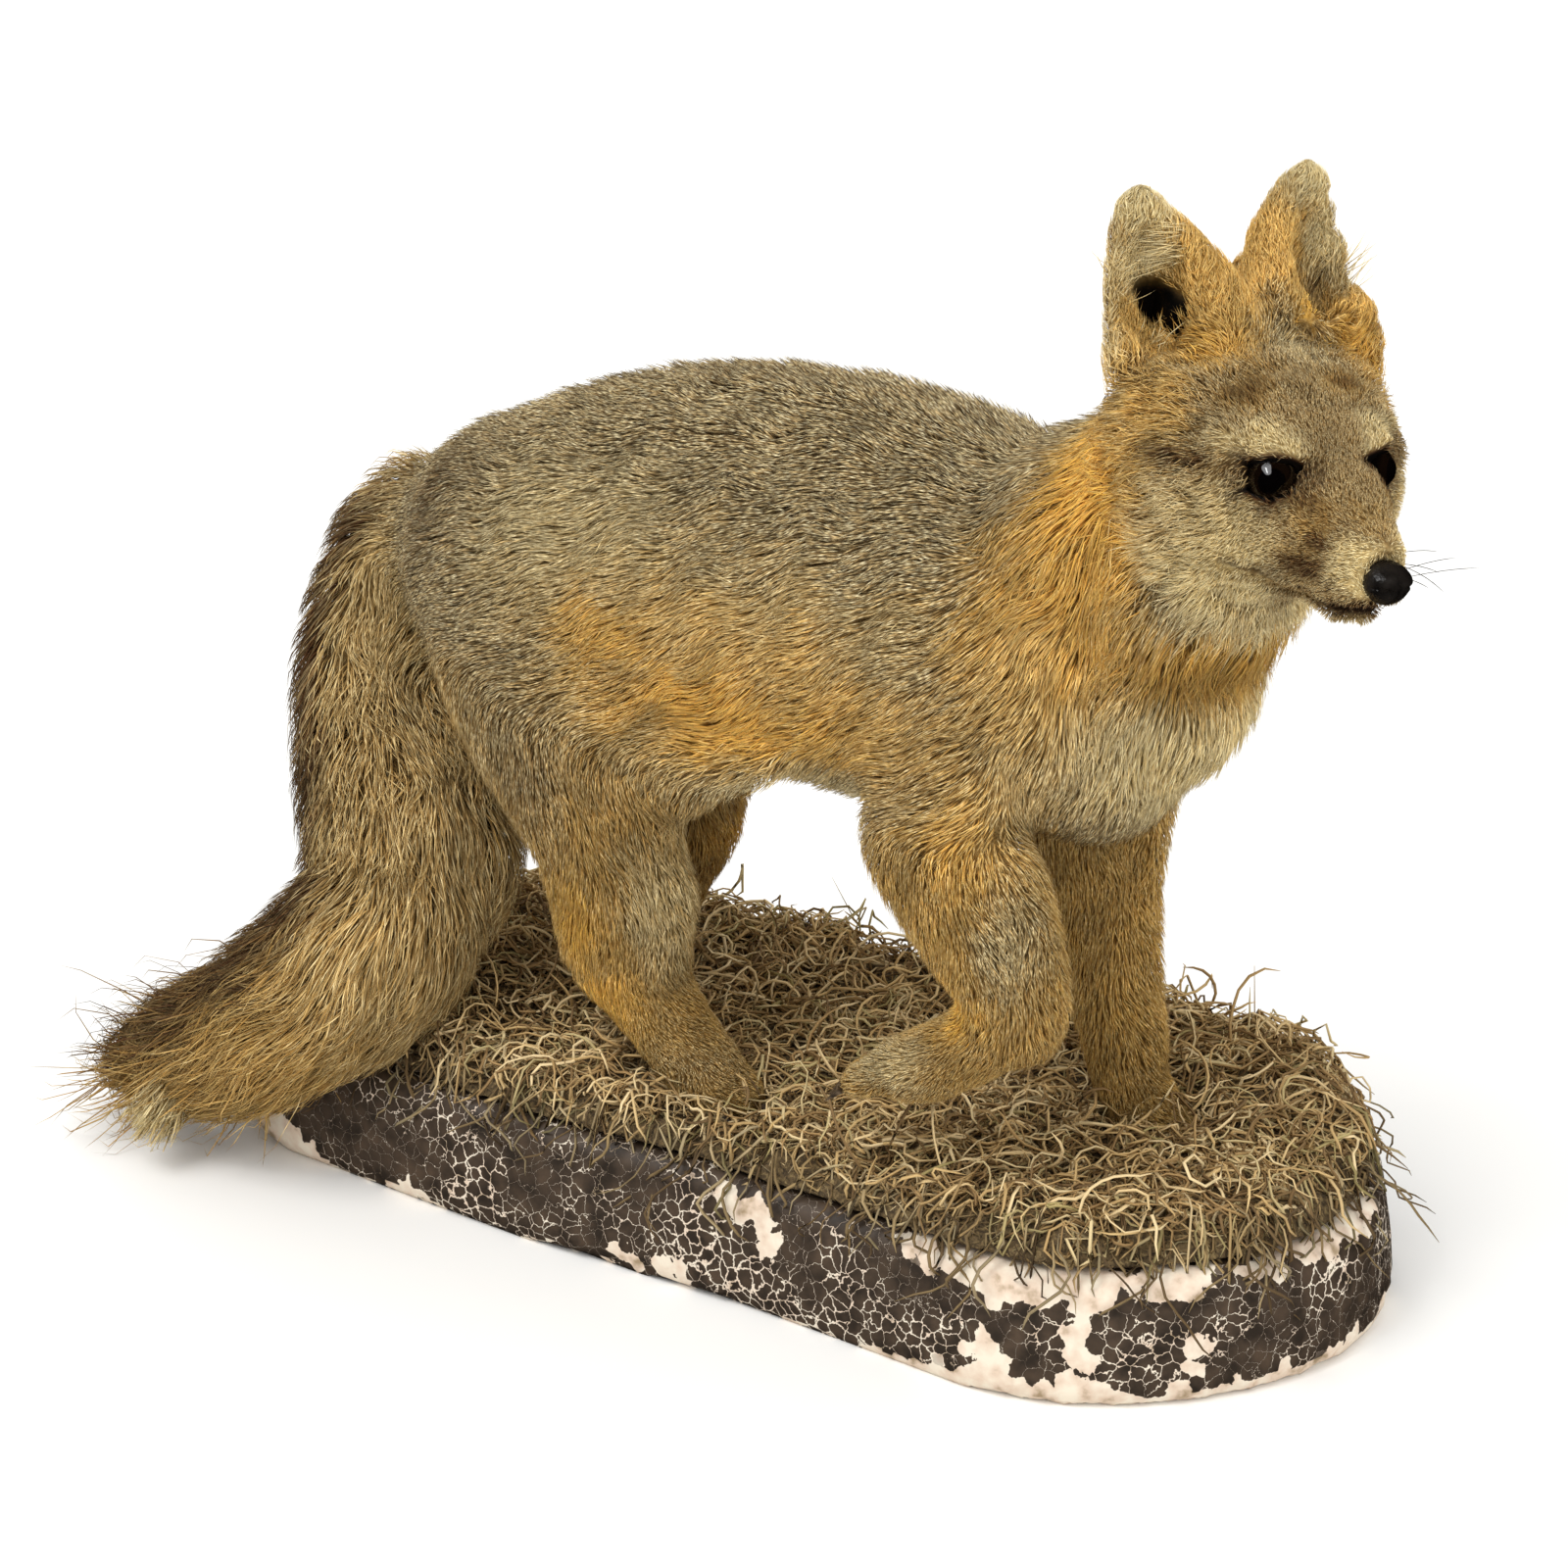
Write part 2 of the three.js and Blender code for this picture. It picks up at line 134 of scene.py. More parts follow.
def makeCamera():
    turn, tilt = math.radians(view["azimuth"]), math.radians(view["elevation"])
    back = Vector((math.sin(turn) * math.cos(tilt), -math.cos(turn) * math.cos(tilt), math.sin(tilt)))
    data = bpy.data.cameras.new("camera")
    data.lens = view["lens"]
    data.sensor_width = 36
    data.sensor_fit = "HORIZONTAL"
    camera = bpy.data.objects.new("camera", data)
    scene.collection.objects.link(camera)
    camera.location = Vector(view["aim"]) + back * view["distance"]
    camera.rotation_euler = back.to_track_quat("Z", "Y").to_euler()
    scene.camera = camera


makeCamera()
print("camera set")


# ---- ways of making meshes
def linkPiece(name, mesh):
    piece = bpy.data.objects.new(name, mesh)
    scene.collection.objects.link(piece)
    return piece


def triangleMesh(name, animal, triangles, smooth=True):
    mesh = bpy.data.meshes.new(name)
    mesh.vertices.add(len(animal))
    mesh.vertices.foreach_set("co", toFrame(animal).astype(np.float32).ravel())
    mesh.loops.add(triangles.size)
    mesh.loops.foreach_set("vertex_index", triangles.astype(np.int32).ravel())
    mesh.polygons.add(len(triangles))
    mesh.polygons.foreach_set("loop_start", np.arange(0, triangles.size, 3, dtype=np.int32))
    mesh.polygons.foreach_set("use_smooth", np.full(len(triangles), smooth))
    mesh.update(calc_edges=True)
    return mesh


def addColours(mesh, name, values):
    # Four values for each vertex, kept as they are.
    layer = mesh.color_attributes.new(name, "FLOAT_COLOR", "POINT")
    layer.data.foreach_set("color", np.asarray(values, np.float32).ravel())


def addUv(mesh, name, perVertex, triangles):
    layer = mesh.uv_layers.new(name=name)
    layer.data.foreach_set("uv", perVertex[triangles.ravel()].astype(np.float32).ravel())


def mergedCopy(name, nodeNames):
    made = bmesh.new()
    for nodeName in nodeNames:
        made.from_mesh(nodes[nodeName].data)
    bmesh.ops.remove_doubles(made, verts=made.verts, dist=0.00002)
    mesh = bpy.data.meshes.new(name)
    made.to_mesh(mesh)
    made.free()
    return linkPiece(name, mesh)


def voxelForm(piece, size):
    change = piece.modifiers.new("voxels", "REMESH")
    change.mode = "VOXEL"
    change.voxel_size = size
    solved = piece.evaluated_get(bpy.context.evaluated_depsgraph_get())
    mesh = bpy.data.meshes.new_from_object(solved)
    piece.modifiers.clear()
    piece.data = mesh


def largestPart(made):
    left, best = set(made.verts), []
    while left:
        found = [left.pop()]
        for vert in found:
            for edge in vert.link_edges:
                other = edge.other_vert(vert)
                if other in left:
                    left.remove(other)
                    found.append(other)
        if len(found) > len(best):
            best = found
    keep = set(best)
    bmesh.ops.delete(made, geom=[v for v in made.verts if v not in keep], context="VERTS")


def ownVerts(mesh):
    places = np.empty(len(mesh.vertices) * 3, np.float32)
    mesh.vertices.foreach_get("co", places)
    return places.reshape(-1, 3)


def readVerts(mesh):
    return toAnimal(ownVerts(mesh))


def writeVerts(mesh, animal):
    mesh.vertices.foreach_set("co", toFrame(animal).astype(np.float32).ravel())
    mesh.update()


def smoothFaces(mesh):
    mesh.polygons.foreach_set("use_smooth", np.ones(len(mesh.polygons), bool))


def onlyMaterial(mesh, material):
    mesh.materials.clear()
    mesh.materials.append(material)


def readEdges(mesh):
    ends = np.empty(len(mesh.edges) * 2, np.int32)
    mesh.edges.foreach_get("vertices", ends)
    return ends.reshape(-1, 2)


def readTriangles(mesh):
    mesh.calc_loop_triangles()
    corners = np.empty(len(mesh.loop_triangles) * 3, np.int32)
    mesh.loop_triangles.foreach_get("vertices", corners)
    return corners.reshape(-1, 3)


def triangleAreas(places, triangles):
    a, b, c = (places[triangles[:, k]] for k in range(3))
    return 0.5 * np.linalg.norm(np.cross(b - a, c - a), axis=1)


def neighbourMean(values, edges):
    first, second = edges[:, 0], edges[:, 1]
    count = len(values)
    share = np.bincount(first, minlength=count) + np.bincount(second, minlength=count)
    total = np.empty_like(values)
    for column in range(values.shape[1]):
        total[:, column] = np.bincount(first, values[second, column], count)
        total[:, column] += np.bincount(second, values[first, column], count)
    return total / np.maximum(share, 1)[:, None]


def spread(values, edges, rounds, strength=0.6):
    # Evens values out over the surface.
    flat = values.ndim == 1
    values = values[:, None] if flat else values.copy()
    for _ in range(rounds):
        values = values + strength * (neighbourMean(values, edges) - values)
    return values[:, 0] if flat else values


def fair(places, edges, rounds, mask=None):
    # Smooths a surface and keeps its volume.
    hold = 1 if mask is None else mask[:, None]
    for _ in range(rounds):
        places = places + 0.5 * hold * (neighbourMean(places, edges) - places)
        places = places - 0.52 * hold * (neighbourMean(places, edges) - places)
    return places


def vertNormals(places, triangles):
    a, b, c = (places[triangles[:, k]] for k in range(3))
    face = np.cross(b - a, c - a)
    total = np.zeros_like(places)
    for k in range(3):
        for axis in range(3):
            total[:, axis] += np.bincount(triangles[:, k], face[:, axis], len(places))
    return unit(total)


def treeOf(places, triangles):
    return BVHTree.FromPolygons(places.tolist(), triangles.tolist(), all_triangles=True)


# ---- node helpers for materials
def newMaterial(name):
    material = bpy.data.materials.new(name)
    material.use_nodes = True
    tree = material.node_tree
    shader = tree.nodes["Principled BSDF"]
    return material, tree, shader


def setInputs(tree, node, links):
    # links gives an input's name or number with a value or another node's output.
    for key, value in dict(links).items():
        if isinstance(value, bpy.types.NodeSocket):
            tree.links.new(value, node.inputs[key])
        else:
            node.inputs[key].default_value = value


def addNode(tree, kind, links=(), **settings):
    node = tree.nodes.new(kind)
    for key, value in settings.items():
        setattr(node, key, value)
    setInputs(tree, node, links)
    return node


def addAttribute(tree, name, output=0):
    return addNode(tree, "ShaderNodeAttribute", attribute_name=name).outputs[output]


def addPlace(tree):
    return addNode(tree, "ShaderNodeTexCoord").outputs["Object"]


def addNoise(tree, place, scale, detail, output=0, **links):
    links.update(Vector=place, Scale=scale, Detail=detail)
    return addNode(tree, "ShaderNodeTexNoise", links).outputs[output]


def addVector(tree, operation, *values, output=0):
    return addNode(tree, "ShaderNodeVectorMath", enumerate(values), operation=operation).outputs[output]


def addScaled(tree, colour, amount):
    return addNode(tree, "ShaderNodeVectorMath", {0: colour, 3: amount}, operation="SCALE").outputs[0]


def addBump(tree, shader, height, strength, distance):
    bump = addNode(tree, "ShaderNodeBump", {"Height": height, "Strength": strength, "Distance": distance})
    tree.links.new(bump.outputs[0], shader.inputs["Normal"])


def addMath(tree, operation, first, second=0.0, third=0.0, clamp=False):
    node = addNode(tree, "ShaderNodeMath", {0: first, 1: second, 2: third}, operation=operation)
    node.use_clamp = clamp
    return node.outputs[0]


def addMix(tree, share, first, second, blend="MIX"):
    links = {0: share, 6: first, 7: second}
    node = addNode(tree, "ShaderNodeMix", links, data_type="RGBA", blend_type=blend)
    return node.outputs[2]


def addSpan(tree, value, low, high, start=0.0, end=1.0):
    links = {0: value, 1: low, 2: high, 3: start, 4: end}
    node = addNode(tree, "ShaderNodeMapRange", links, interpolation_type="SMOOTHSTEP")
    return node.outputs[0]


def addRamp(tree, value, stops):
    node = addNode(tree, "ShaderNodeValToRGB", {0: value})
    points = node.color_ramp.elements
    while len(points) < len(stops):
        points.new(0.5)
    for point, (place, colour) in zip(points, stops):
        point.position = place
        point.color = paint(colour)
    return node.outputs[0]


def paint(hexColour):
    # A colour written as in a picture editor, in Blender's linear light.
    channels = [int(hexColour[k:k + 2], 16) / 255 for k in (0, 2, 4)]
    light = [c / 12.92 if c <= 0.04045 else ((c + 0.055) / 1.055) ** 2.4 for c in channels]
    return (*light, 1)


# ---- the skin
fleshNodes = [name for name in nodes if not name.startswith(("eye", "nose", "claw", "base", "moss"))]
labels = {name: index for index, name in enumerate(fleshNodes)}
skinForm = dict(voxel=0.0032, fairing=16, headDetail=-88, eyeDetail=17, mouthDetail=5, pushSteps=8)
eyeForm = dict(right=(-3.5, -23.5, -0.5), left=(-3.5, 23.5, -0.5), radius=10.3)
# Fleshy forms that fill out the solids, each a row of points with a radius.
bodyFills = [
    [(-168, 0, 292, 16), (-168, -5, 250, 28), (-156, -14, 216, 35), (-134, -30, 184, 37),
     (-112, -52, 152, 33), (-124, -80, 118, 27)],
    [(-4, -52, 226, 24), (40, -50, 244, 24), (84, -46, 262, 20)],
    [(-30, 46, 222, 24), (30, 46, 244, 24), (80, 46, 262, 20)],
]
earFills = [
    [(-80, -41, 92, 4.5), (-78, -28, 81, 6.5), (-74, -19, 71, 8), (-69, -13, 62, 9.5), (-64, -13, 50, 11),
     (-60, -16, 38, 13)],
    [(-87, -34, 62, 5.5), (-91, -33, 48, 9), (-85, -32, 26, 13)],
    [(-80, -40, 93, 5.5), (-80, -47, 91, 5.5), (-81, -50, 80, 4.5)],
    [(-78, 34, 101, 5.5), (-78, 40, 99, 5.5), (-78, 45, 88, 4.5)],
    [(-74, -50, 36, 7), (-68, -50, 22, 11), (-64, -52, 8, 14), (-62, -54, -10, 16)],
    [(-76, -16, 60, 7.5), (-76, 0, 58, 8), (-76, 16, 60, 7.5)],
    [(-66, -10, 48, 13), (-66, 10, 48, 13)],
    [(-18, -40, 14, 8), (-15, -43, 2, 8), (-13, -42, -10, 8), (-12, -40, -20, 7)],
    [(-18, 40, 14, 8), (-15, 43, 2, 8), (-13, 42, -10, 8), (-12, 40, -20, 7)],
    [(-78, 31, 101, 4.5), (-77, 25, 92, 6), (-75, 20, 82, 8), (-72, 15, 72, 9.5), (-67, 14, 60, 10.5),
     (-62, 14, 48, 12)],
    [(-84, 40, 62, 5), (-84, 38, 48, 8), (-78, 36, 32, 13)],
    [(-61, 20, 53, 7), (-57, 30, 45, 8), (-58, 42, 44, 8), (-63, 54, 46, 7)],
    [(-68, 63, 47, 6), (-66, 64, 36, 8), (-62, 62, 24, 11), (-56, 60, 12, 13)],
    [(-3.6, -23.6, -0.5, 13.2), (-3.4, -23.3, -0.5, 13.2)],
    [(-3.6, 23.6, -0.5, 13.2), (-3.4, 23.3, -0.5, 13.2)],
]
swell = dict(foreleg=3.5, forepaw=2.5, thigh=3, shank=4, hindpaw=2.5, tail=4)
mouthLine = [(-11, -35), (-3, -38), (6, -43), (15, -46), (24, -45.5), (33, -43.5), (44, -42)]


def fillCapsules(made, rows, place):
    # Balls along each row of points, close enough to read as one form.
    for row in rows:
        for first, second in zip(row, row[1:]):
            first, second = np.array(first, float), np.array(second, float)
            spacing = 0.35 * min(first[3], second[3])
            steps = max(2, int(np.linalg.norm(second[:3] - first[:3]) / spacing))
            for share in np.linspace(0, 1, steps + 1):
                spot = first + (second - first) * share
                where = Matrix.Translation(toFrame(place(spot[:3])).tolist())
                bmesh.ops.create_icosphere(made, subdivisions=2, radius=spot[3] / 1000, matrix=where)


def mirrored(head):
    # The same place on the left half of the head.
    return np.column_stack([head[:, 0], np.abs(head[:, 1]), head[:, 2]])


def partOf(names):
    return [labels[name] for name in fleshNodes if name.startswith(names)]


def nodeLabels(animal):
    # The CAD node that each point is nearest to.
    places, triangles, owner = [], [], []
    for name in fleshNodes:
        mesh = nodes[name].data
        mesh.calc_loop_triangles()
        base = sum(len(p) for p in places)
        places.append(readVerts(mesh))
        triangles += [[base + k for k in t.vertices] for t in mesh.loop_triangles]
        owner += [labels[name]] * len(mesh.loop_triangles)
    tree = treeOf(np.concatenate(places), np.array(triangles))
    return np.array([owner[tree.find_nearest(p)[2]] for p in animal.tolist()])


def refine(made, wanted):
    # Divides each edge whose two ends are wanted.
    flags = wanted(toAnimal([v.co[:] for v in made.verts]))
    for vert, flag in zip(made.verts, flags):
        vert.tag = bool(flag)
    edges = [e for e in made.edges if e.verts[0].tag and e.verts[1].tag]
    bmesh.ops.subdivide_edges(made, edges=edges, cuts=1, use_grid_fill=True)
    bmesh.ops.triangulate(made, faces=[f for f in made.faces if len(f.verts) > 4])


def nearHead(animal):
    head = toHead(animal)
    return (head[:, 0] > skinForm["headDetail"]) & (head[:, 2] > -60) & (np.abs(head[:, 1]) < 90)


def mouthAway(half):
    # Height above the line between the lips, far from it behind the corner of the mouth.
    line = np.array(mouthLine)
    level = np.interp(half[:, 0], line[:, 0], line[:, 1])
    behind = np.maximum(line[0, 0] - half[:, 0], 0)
    ahead = np.maximum(half[:, 0] - line[-1, 0] - 4, 0)
    return np.hypot(np.hypot(half[:, 2] - level, behind), ahead)


def nearFeatures(animal):
    head = mirrored(toHead(animal))
    toEye = np.linalg.norm(head - np.array(eyeForm["left"]), axis=1)
    toMouth = mouthAway(head)
    return (toEye < skinForm["eyeDetail"]) | (toMouth < skinForm["mouthDetail"])


def thicknesses(places, triangles, normals):
    tree = treeOf(places, triangles)
    found = np.full(len(places), 200.0)
    for index, (place, inward) in enumerate(zip(places.tolist(), (-normals).tolist())):
        inward = Vector(inward)
        hit = tree.ray_cast(Vector(place) + inward * 0.4, inward, 200)[3]
        if hit is not None:
            found[index] = hit
    return found


def keepLargest(mesh):
    made = bmesh.new()
    made.from_mesh(mesh)
    largestPart(made)
    made.to_mesh(mesh)
    made.free()


def headBack(head):
    # 0 on the face and up to 1.6 towards the back of the head, the cheeks and the throat.
    aside = 0.9 * rise(np.abs(head[:, 1]), 40, 62)
    below = 0.9 * rise(-head[:, 2], 40, 70)
    return np.clip(rise(-head[:, 0], -8, 80) + aside + below, 0, 1.6)


# The tail's torn lower corner is slimmer than its solid: middle, radii, extra depth, how far that may pass
# the limit set by the tail's thickness, and how much shorter the tufts are.
tailTrim = dict(middle=(-246, -148, 18), radii=(48, 40, 32), depth=30, room=20, short=0.45)


def tornShare(places):
    away = (places - np.array(tailTrim["middle"])) / np.array(tailTrim["radii"])
    return np.exp(-np.linalg.norm(away, axis=1) ** 2)


def pushIn(mesh):
    # Moves the surface in by the coat's depth, evenly and without creases.
    edges, triangles = readEdges(mesh), readTriangles(mesh)
    places = fair(readVerts(mesh), edges, skinForm["fairing"])
    owner = nodeLabels(places)
    grown = np.zeros(len(places))
    for part, amount in swell.items():
        grown[np.isin(owner, partOf(part))] = amount
    normals = vertNormals(places, triangles)
    ahead = np.where(np.isin(owner, partOf("tail")), 0, np.maximum(normals[:, 0], 0))
    grown = spread(grown * (0.7 + 1.3 * ahead), edges, 14)
    places = places + unit(spread(normals, edges, 4)) * grown[:, None]
    wanted = np.zeros(len(places))
    for part, sizes in coatParts.items():
        wanted[np.isin(owner, partOf(part))] = sizes["depth"]
    onHead = np.isin(owner, partOf("head"))
    wanted = spread(wanted * np.where(onHead, 0.4 + 2.3 * headBack(toHead(places)), 1), edges, 12)
    torn = tornShare(places)
    wanted += tailTrim["depth"] * torn
    across = spread(thicknesses(places, triangles, vertNormals(places, triangles)), edges, 8)
    limit = 0.35 + 0.3 * np.maximum(across - 7, 0)
    limit += tailTrim["room"] * torn
    wanted = spread(np.minimum(wanted, limit), edges, 8)
    whole = treeOf(places, triangles)
    soften = 0.5 * rise(wanted, 3, 9)[:, None]
    for _ in range(skinForm["pushSteps"]):
        normals = unit(spread(vertNormals(places, triangles), edges, 5))
        places = places - normals * (wanted / skinForm["pushSteps"])[:, None]
        places = places + soften * (neighbourMean(places, edges) - places)
    writeVerts(mesh, places)
    return whole


def rawSkin():
    piece = mergedCopy("skin", fleshNodes)
    made = bmesh.new()
    made.from_mesh(piece.data)
    fillCapsules(made, bodyFills, lambda animal: animal)
    fillCapsules(made, earFills, fromHead)
    made.to_mesh(piece.data)
    made.free()
    voxelForm(piece, skinForm["voxel"])
    keepLargest(piece.data)
    whole = pushIn(piece.data)
    voxelForm(piece, skinForm["voxel"] * 0.95)
    keepLargest(piece.data)
    writeVerts(piece.data, fair(readVerts(piece.data), readEdges(piece.data), 6))
    made = bmesh.new()
    made.from_mesh(piece.data)
    refine(made, nearHead)
    refine(made, nearFeatures)
    bmesh.ops.triangulate(made, faces=made.faces)
    made.to_mesh(piece.data)
    made.free()
    return piece, whole


# Coat by part: depth from skin to tips, length and width of a tuft in mm, tufts per square cm.
coatParts = {
    "trunk": dict(depth=12, length=18.5, width=0.85, cover=47),
    "neck": dict(depth=14, length=28, width=0.9, cover=44),
    "head": dict(depth=3, length=8.5, width=0.55, cover=165),
    "ear": dict(depth=0.8, length=8, width=0.5, cover=140),
    "foreleg": dict(depth=6, length=13, width=0.75, cover=70),
    "forepaw": dict(depth=3, length=7, width=0.6, cover=110),
    "thigh": dict(depth=9, length=18, width=0.85, cover=50),
    "shank": dict(depth=6, length=13, width=0.75, cover=66),
    "hindpaw": dict(depth=3, length=7, width=0.6, cover=110),
    "tail_root": dict(depth=11, length=28, width=1.0, cover=36),
    "tail_middle": dict(depth=15, length=38, width=1.0, cover=34),
    "tail_brush": dict(depth=17, length=46, width=1.0, cover=36),
}
# How far the tips stand out past the solids.
proud = dict(ear=1.8, head=1.0, neck=1.0, foreleg=1.5, forepaw=1.2, shank=1.5, hindpaw=1.2, tail=2.0)
# On the head each value is multiplied by the first number, and by the second more towards its back.
headCoat = dict(length=(0.5, 1.25), width=(0.85, 0.25), cover=(1.25, -0.45))
skin, wholeTree = rawSkin()
skinEdges = readEdges(skin.data)
skinTriangles = readTriangles(skin.data)
inner = fair(readVerts(skin.data), skinEdges, 3)
label = nodeLabels(inner)
print("raw skin:", len(inner), "vertices,", len(skinTriangles), "triangles")


def coatFields():
    fields = {}
    for key in ("length", "width", "cover"):
        values = np.zeros(len(inner))
        for part, sizes in coatParts.items():
            values[np.isin(label, partOf(part))] = sizes[key]
        fields[key] = values
    onHead = np.isin(label, partOf("head"))
    back = headBack(toHead(inner))
    for key, (onFront, more) in headCoat.items():
        fields[key] = fields[key] * np.where(onHead, onFront + more * back, 1)
    fields["depth"] = np.array([wholeTree.find_nearest(p)[3] for p in inner.tolist()])
    for part, amount in proud.items():
        fields["depth"] += amount * np.isin(label, partOf(part))
    for key in fields:
        fields[key] = spread(fields[key], skinEdges, 10)
    return fields


coatField = coatFields()
outer = inner + vertNormals(inner, skinTriangles) * coatField["depth"][:, None]
print("skin pushed in by the coat's depth")

# Eye opening: its middle direction, its two half angles in degrees, and its tilt, for the left eye.
lids = dict(aim=(0.72, 0.68, 0.12), long=82, high=42, point=1.6, flatTop=0.8, tilt=-8, rim=1.3, sink=2.6)
# The dark lid skin's opening, wider than the eye's: real black rims that run on into the corners as painted
# shade.
lidSkinAndShade = dict(long=100, high=48, point=1.3)
face = dict(mouthWidth=1.9, mouthDepth=2.8, browAt=(3, 27, 12), browSize=9, brow=1.6)


def openingShape(head, centre, form=lids):
    # Angle outside the opening, about 0 at the rim, for the left eye.
    aim = unit(np.array(lids["aim"], float))
    across = unit(np.cross((0, 0, 1), aim))
    upward = np.cross(aim, across)
    tilt = math.radians(lids["tilt"])
    across, upward = (across * math.cos(tilt) + upward * math.sin(tilt),
                      upward * math.cos(tilt) - across * math.sin(tilt))
    way = unit(head - centre)
    side = np.degrees(np.arctan2(way @ across, way @ aim))
    rising = np.degrees(np.arcsin(np.clip(way @ upward, -1, 1)))
    along, up = np.abs(side) / form["long"] + tiny, np.abs(rising) / form["high"] + tiny
    power = form["point"] + lids["flatTop"] * (rising > 0)
    level = (along ** power + up ** power) ** (1 / power)
    slope = np.hypot(along ** (power - 1) / form["long"], up ** (power - 1) / form["high"])
    return (level - 1) / (slope * level ** (1 - power) + tiny)


def snapToRim(half, centre):
    # Brings the points beside the rim onto it, so that the rim is a clean line.
    step = 0.05
    for _ in range(3):
        outside = openingShape(half, centre)
        moved = [openingShape(half + step * axis, centre) for axis in np.eye(3)]
        slope = (np.column_stack(moved) - outside[:, None]) / step
        move = slope * (outside / ((slope ** 2).sum(1) + tiny))[:, None]
        reach = np.linalg.norm(half - centre, axis=1)
        close = (np.abs(outside) < 2.6) & (reach < 14) & (np.linalg.norm(move, axis=1) < 1)
        half = np.where(close[:, None], half - move, half)
    return half


def shapeFace(places):
    head = toHead(places)
    side = np.where(head[:, 1] < 0, -1.0, 1.0)
    half = mirrored(head)
    centre = np.array(eyeForm["left"], float)
    radius = eyeForm["radius"]
    for turn in range(2):
        away = half - centre
        gap = np.linalg.norm(away, axis=1)
        way = unit(away)
        outside = openingShape(half, centre)
        facing = way @ unit(np.array(lids["aim"], float))
        lid = radius + 0.5 + lids["rim"] * rise(outside, 0, 9)
        wanted = np.where(outside < -1.2, radius - lids["sink"], lid)
        hold = 1 - rise(outside, 5, 27)
        hold = np.where(gap < lid, 1, hold) * (facing > -0.35) * (gap < radius + 12)
        half = centre + way * (gap + (wanted - gap) * hold)[:, None]
        if turn == 0:
            half = snapToRim(half, centre)
    awayMouth = mouthAway(half)
    normals = vertNormals(places, skinTriangles) @ headAxes
    normals[:, 1] *= side
    carve = face["mouthDepth"] * np.exp(-(awayMouth / face["mouthWidth"]) ** 2)
    half = half - normals * carve[:, None]
    brow = np.exp(-(np.linalg.norm(half - np.array(face["browAt"]), axis=1) / face["browSize"]) ** 2)
    half = half + normals * (face["brow"] * brow * rise(outside, 4, 14))[:, None]
    head = np.column_stack([half[:, 0], half[:, 1] * side, half[:, 2]])
    skinOutside = openingShape(half, centre, lidSkinAndShade)
    return fromHead(head), outside, skinOutside, gap, awayMouth


# The ears' hollows as ellipses: middle to the left and up, half length and width, slant and depth.
# Each hollow is also painted near-black as its shade, darker the deeper it is.
earHollows = [
    dict(middle=(-31, 51.5), size=(22, 11.2), slant=-41, back=-92, depth=9),
    dict(middle=(46, 60), size=(11, 4.2), slant=62, back=-88, depth=3),
]
earCrease = dict(
    line=[(-60, 6, 58), (-57, 14, 51), (-56, 21, 44), (-56, 29, 37), (-58, 38, 34), (-63, 48, 33)],
    width=5, depth=2.4,
)
hollowFacing = dict(way=(0.81, -0.475, 0.34), level=-74)


def hollowShare(head, facing, hollow):
    # 1 inside an ear's hollow, 0 outside it, for points brought along the hollow's axis to one level.
    way = np.array(hollowFacing["way"])
    level = head - way * ((head[:, :1] - hollowFacing["level"]) / way[0])
    turn = math.radians(hollow["slant"])
    across, up = level[:, 1] - hollow["middle"][0], level[:, 2] - hollow["middle"][1]
    along = across * math.cos(turn) + up * math.sin(turn)
    beside = up * math.cos(turn) - across * math.sin(turn)
    share = np.hypot(along / hollow["size"][0], beside / hollow["size"][1])
    return (1 - rise(share, 0.75, 1.1)) * (head[:, 0] > hollow["back"]) * (head[:, 0] < -56) * (facing > -0.4)


def roomBehind(places, way, chosen):
    # How far each chosen point can go in along way before it nears the far side.
    tree = treeOf(places, skinTriangles)
    inward = Vector((-(headAxes @ way)).tolist())
    room = np.zeros(len(places))
    for index in np.where(chosen)[0]:
        hit = tree.ray_cast(Vector(places[index].tolist()) + inward * 0.4, inward, 60)[3]
        room[index] = max(hit - 2, 0) if hit is not None else 0
    return room


def hollowEars(places):
    head = toHead(places)
    way = np.array(hollowFacing["way"])
    normals = vertNormals(places, skinTriangles) @ headAxes
    facing = normals @ way
    dark = np.zeros(len(places))
    for hollow in earHollows:
        share = spread(hollowShare(head, facing, hollow), skinEdges, 3)
        room = roomBehind(places, way, share > 0.02)
        head = head - way * (np.minimum(hollow["depth"], room) * share)[:, None]
        # Painted shade: the hollow's darkness grows with its depth.
        dark = np.maximum(dark, share * min(1, hollow["depth"] / 5))
    creaseGap = alongLine(head, earCrease["line"])[0]
    carve = earCrease["depth"] * np.exp(-(creaseGap / (0.6 * earCrease["width"])) ** 2)
    head = head - normals * carve[:, None]
    return fromHead(head), dark


inner, eyeOutside, lidOutside, eyeGap, mouthGap = shapeFace(inner)
inner, earHollowShade = hollowEars(inner)
onFace = np.isin(label, partOf("head"))
eyeOutside = np.where(onFace & (eyeGap < 22), eyeOutside, 90)
lidOutside = np.where(onFace & (eyeGap < 19), lidOutside, 90)
mouthGap = np.where(onFace, mouthGap, 90)
skinNormals = vertNormals(inner, skinTriangles)
print("face shaped")

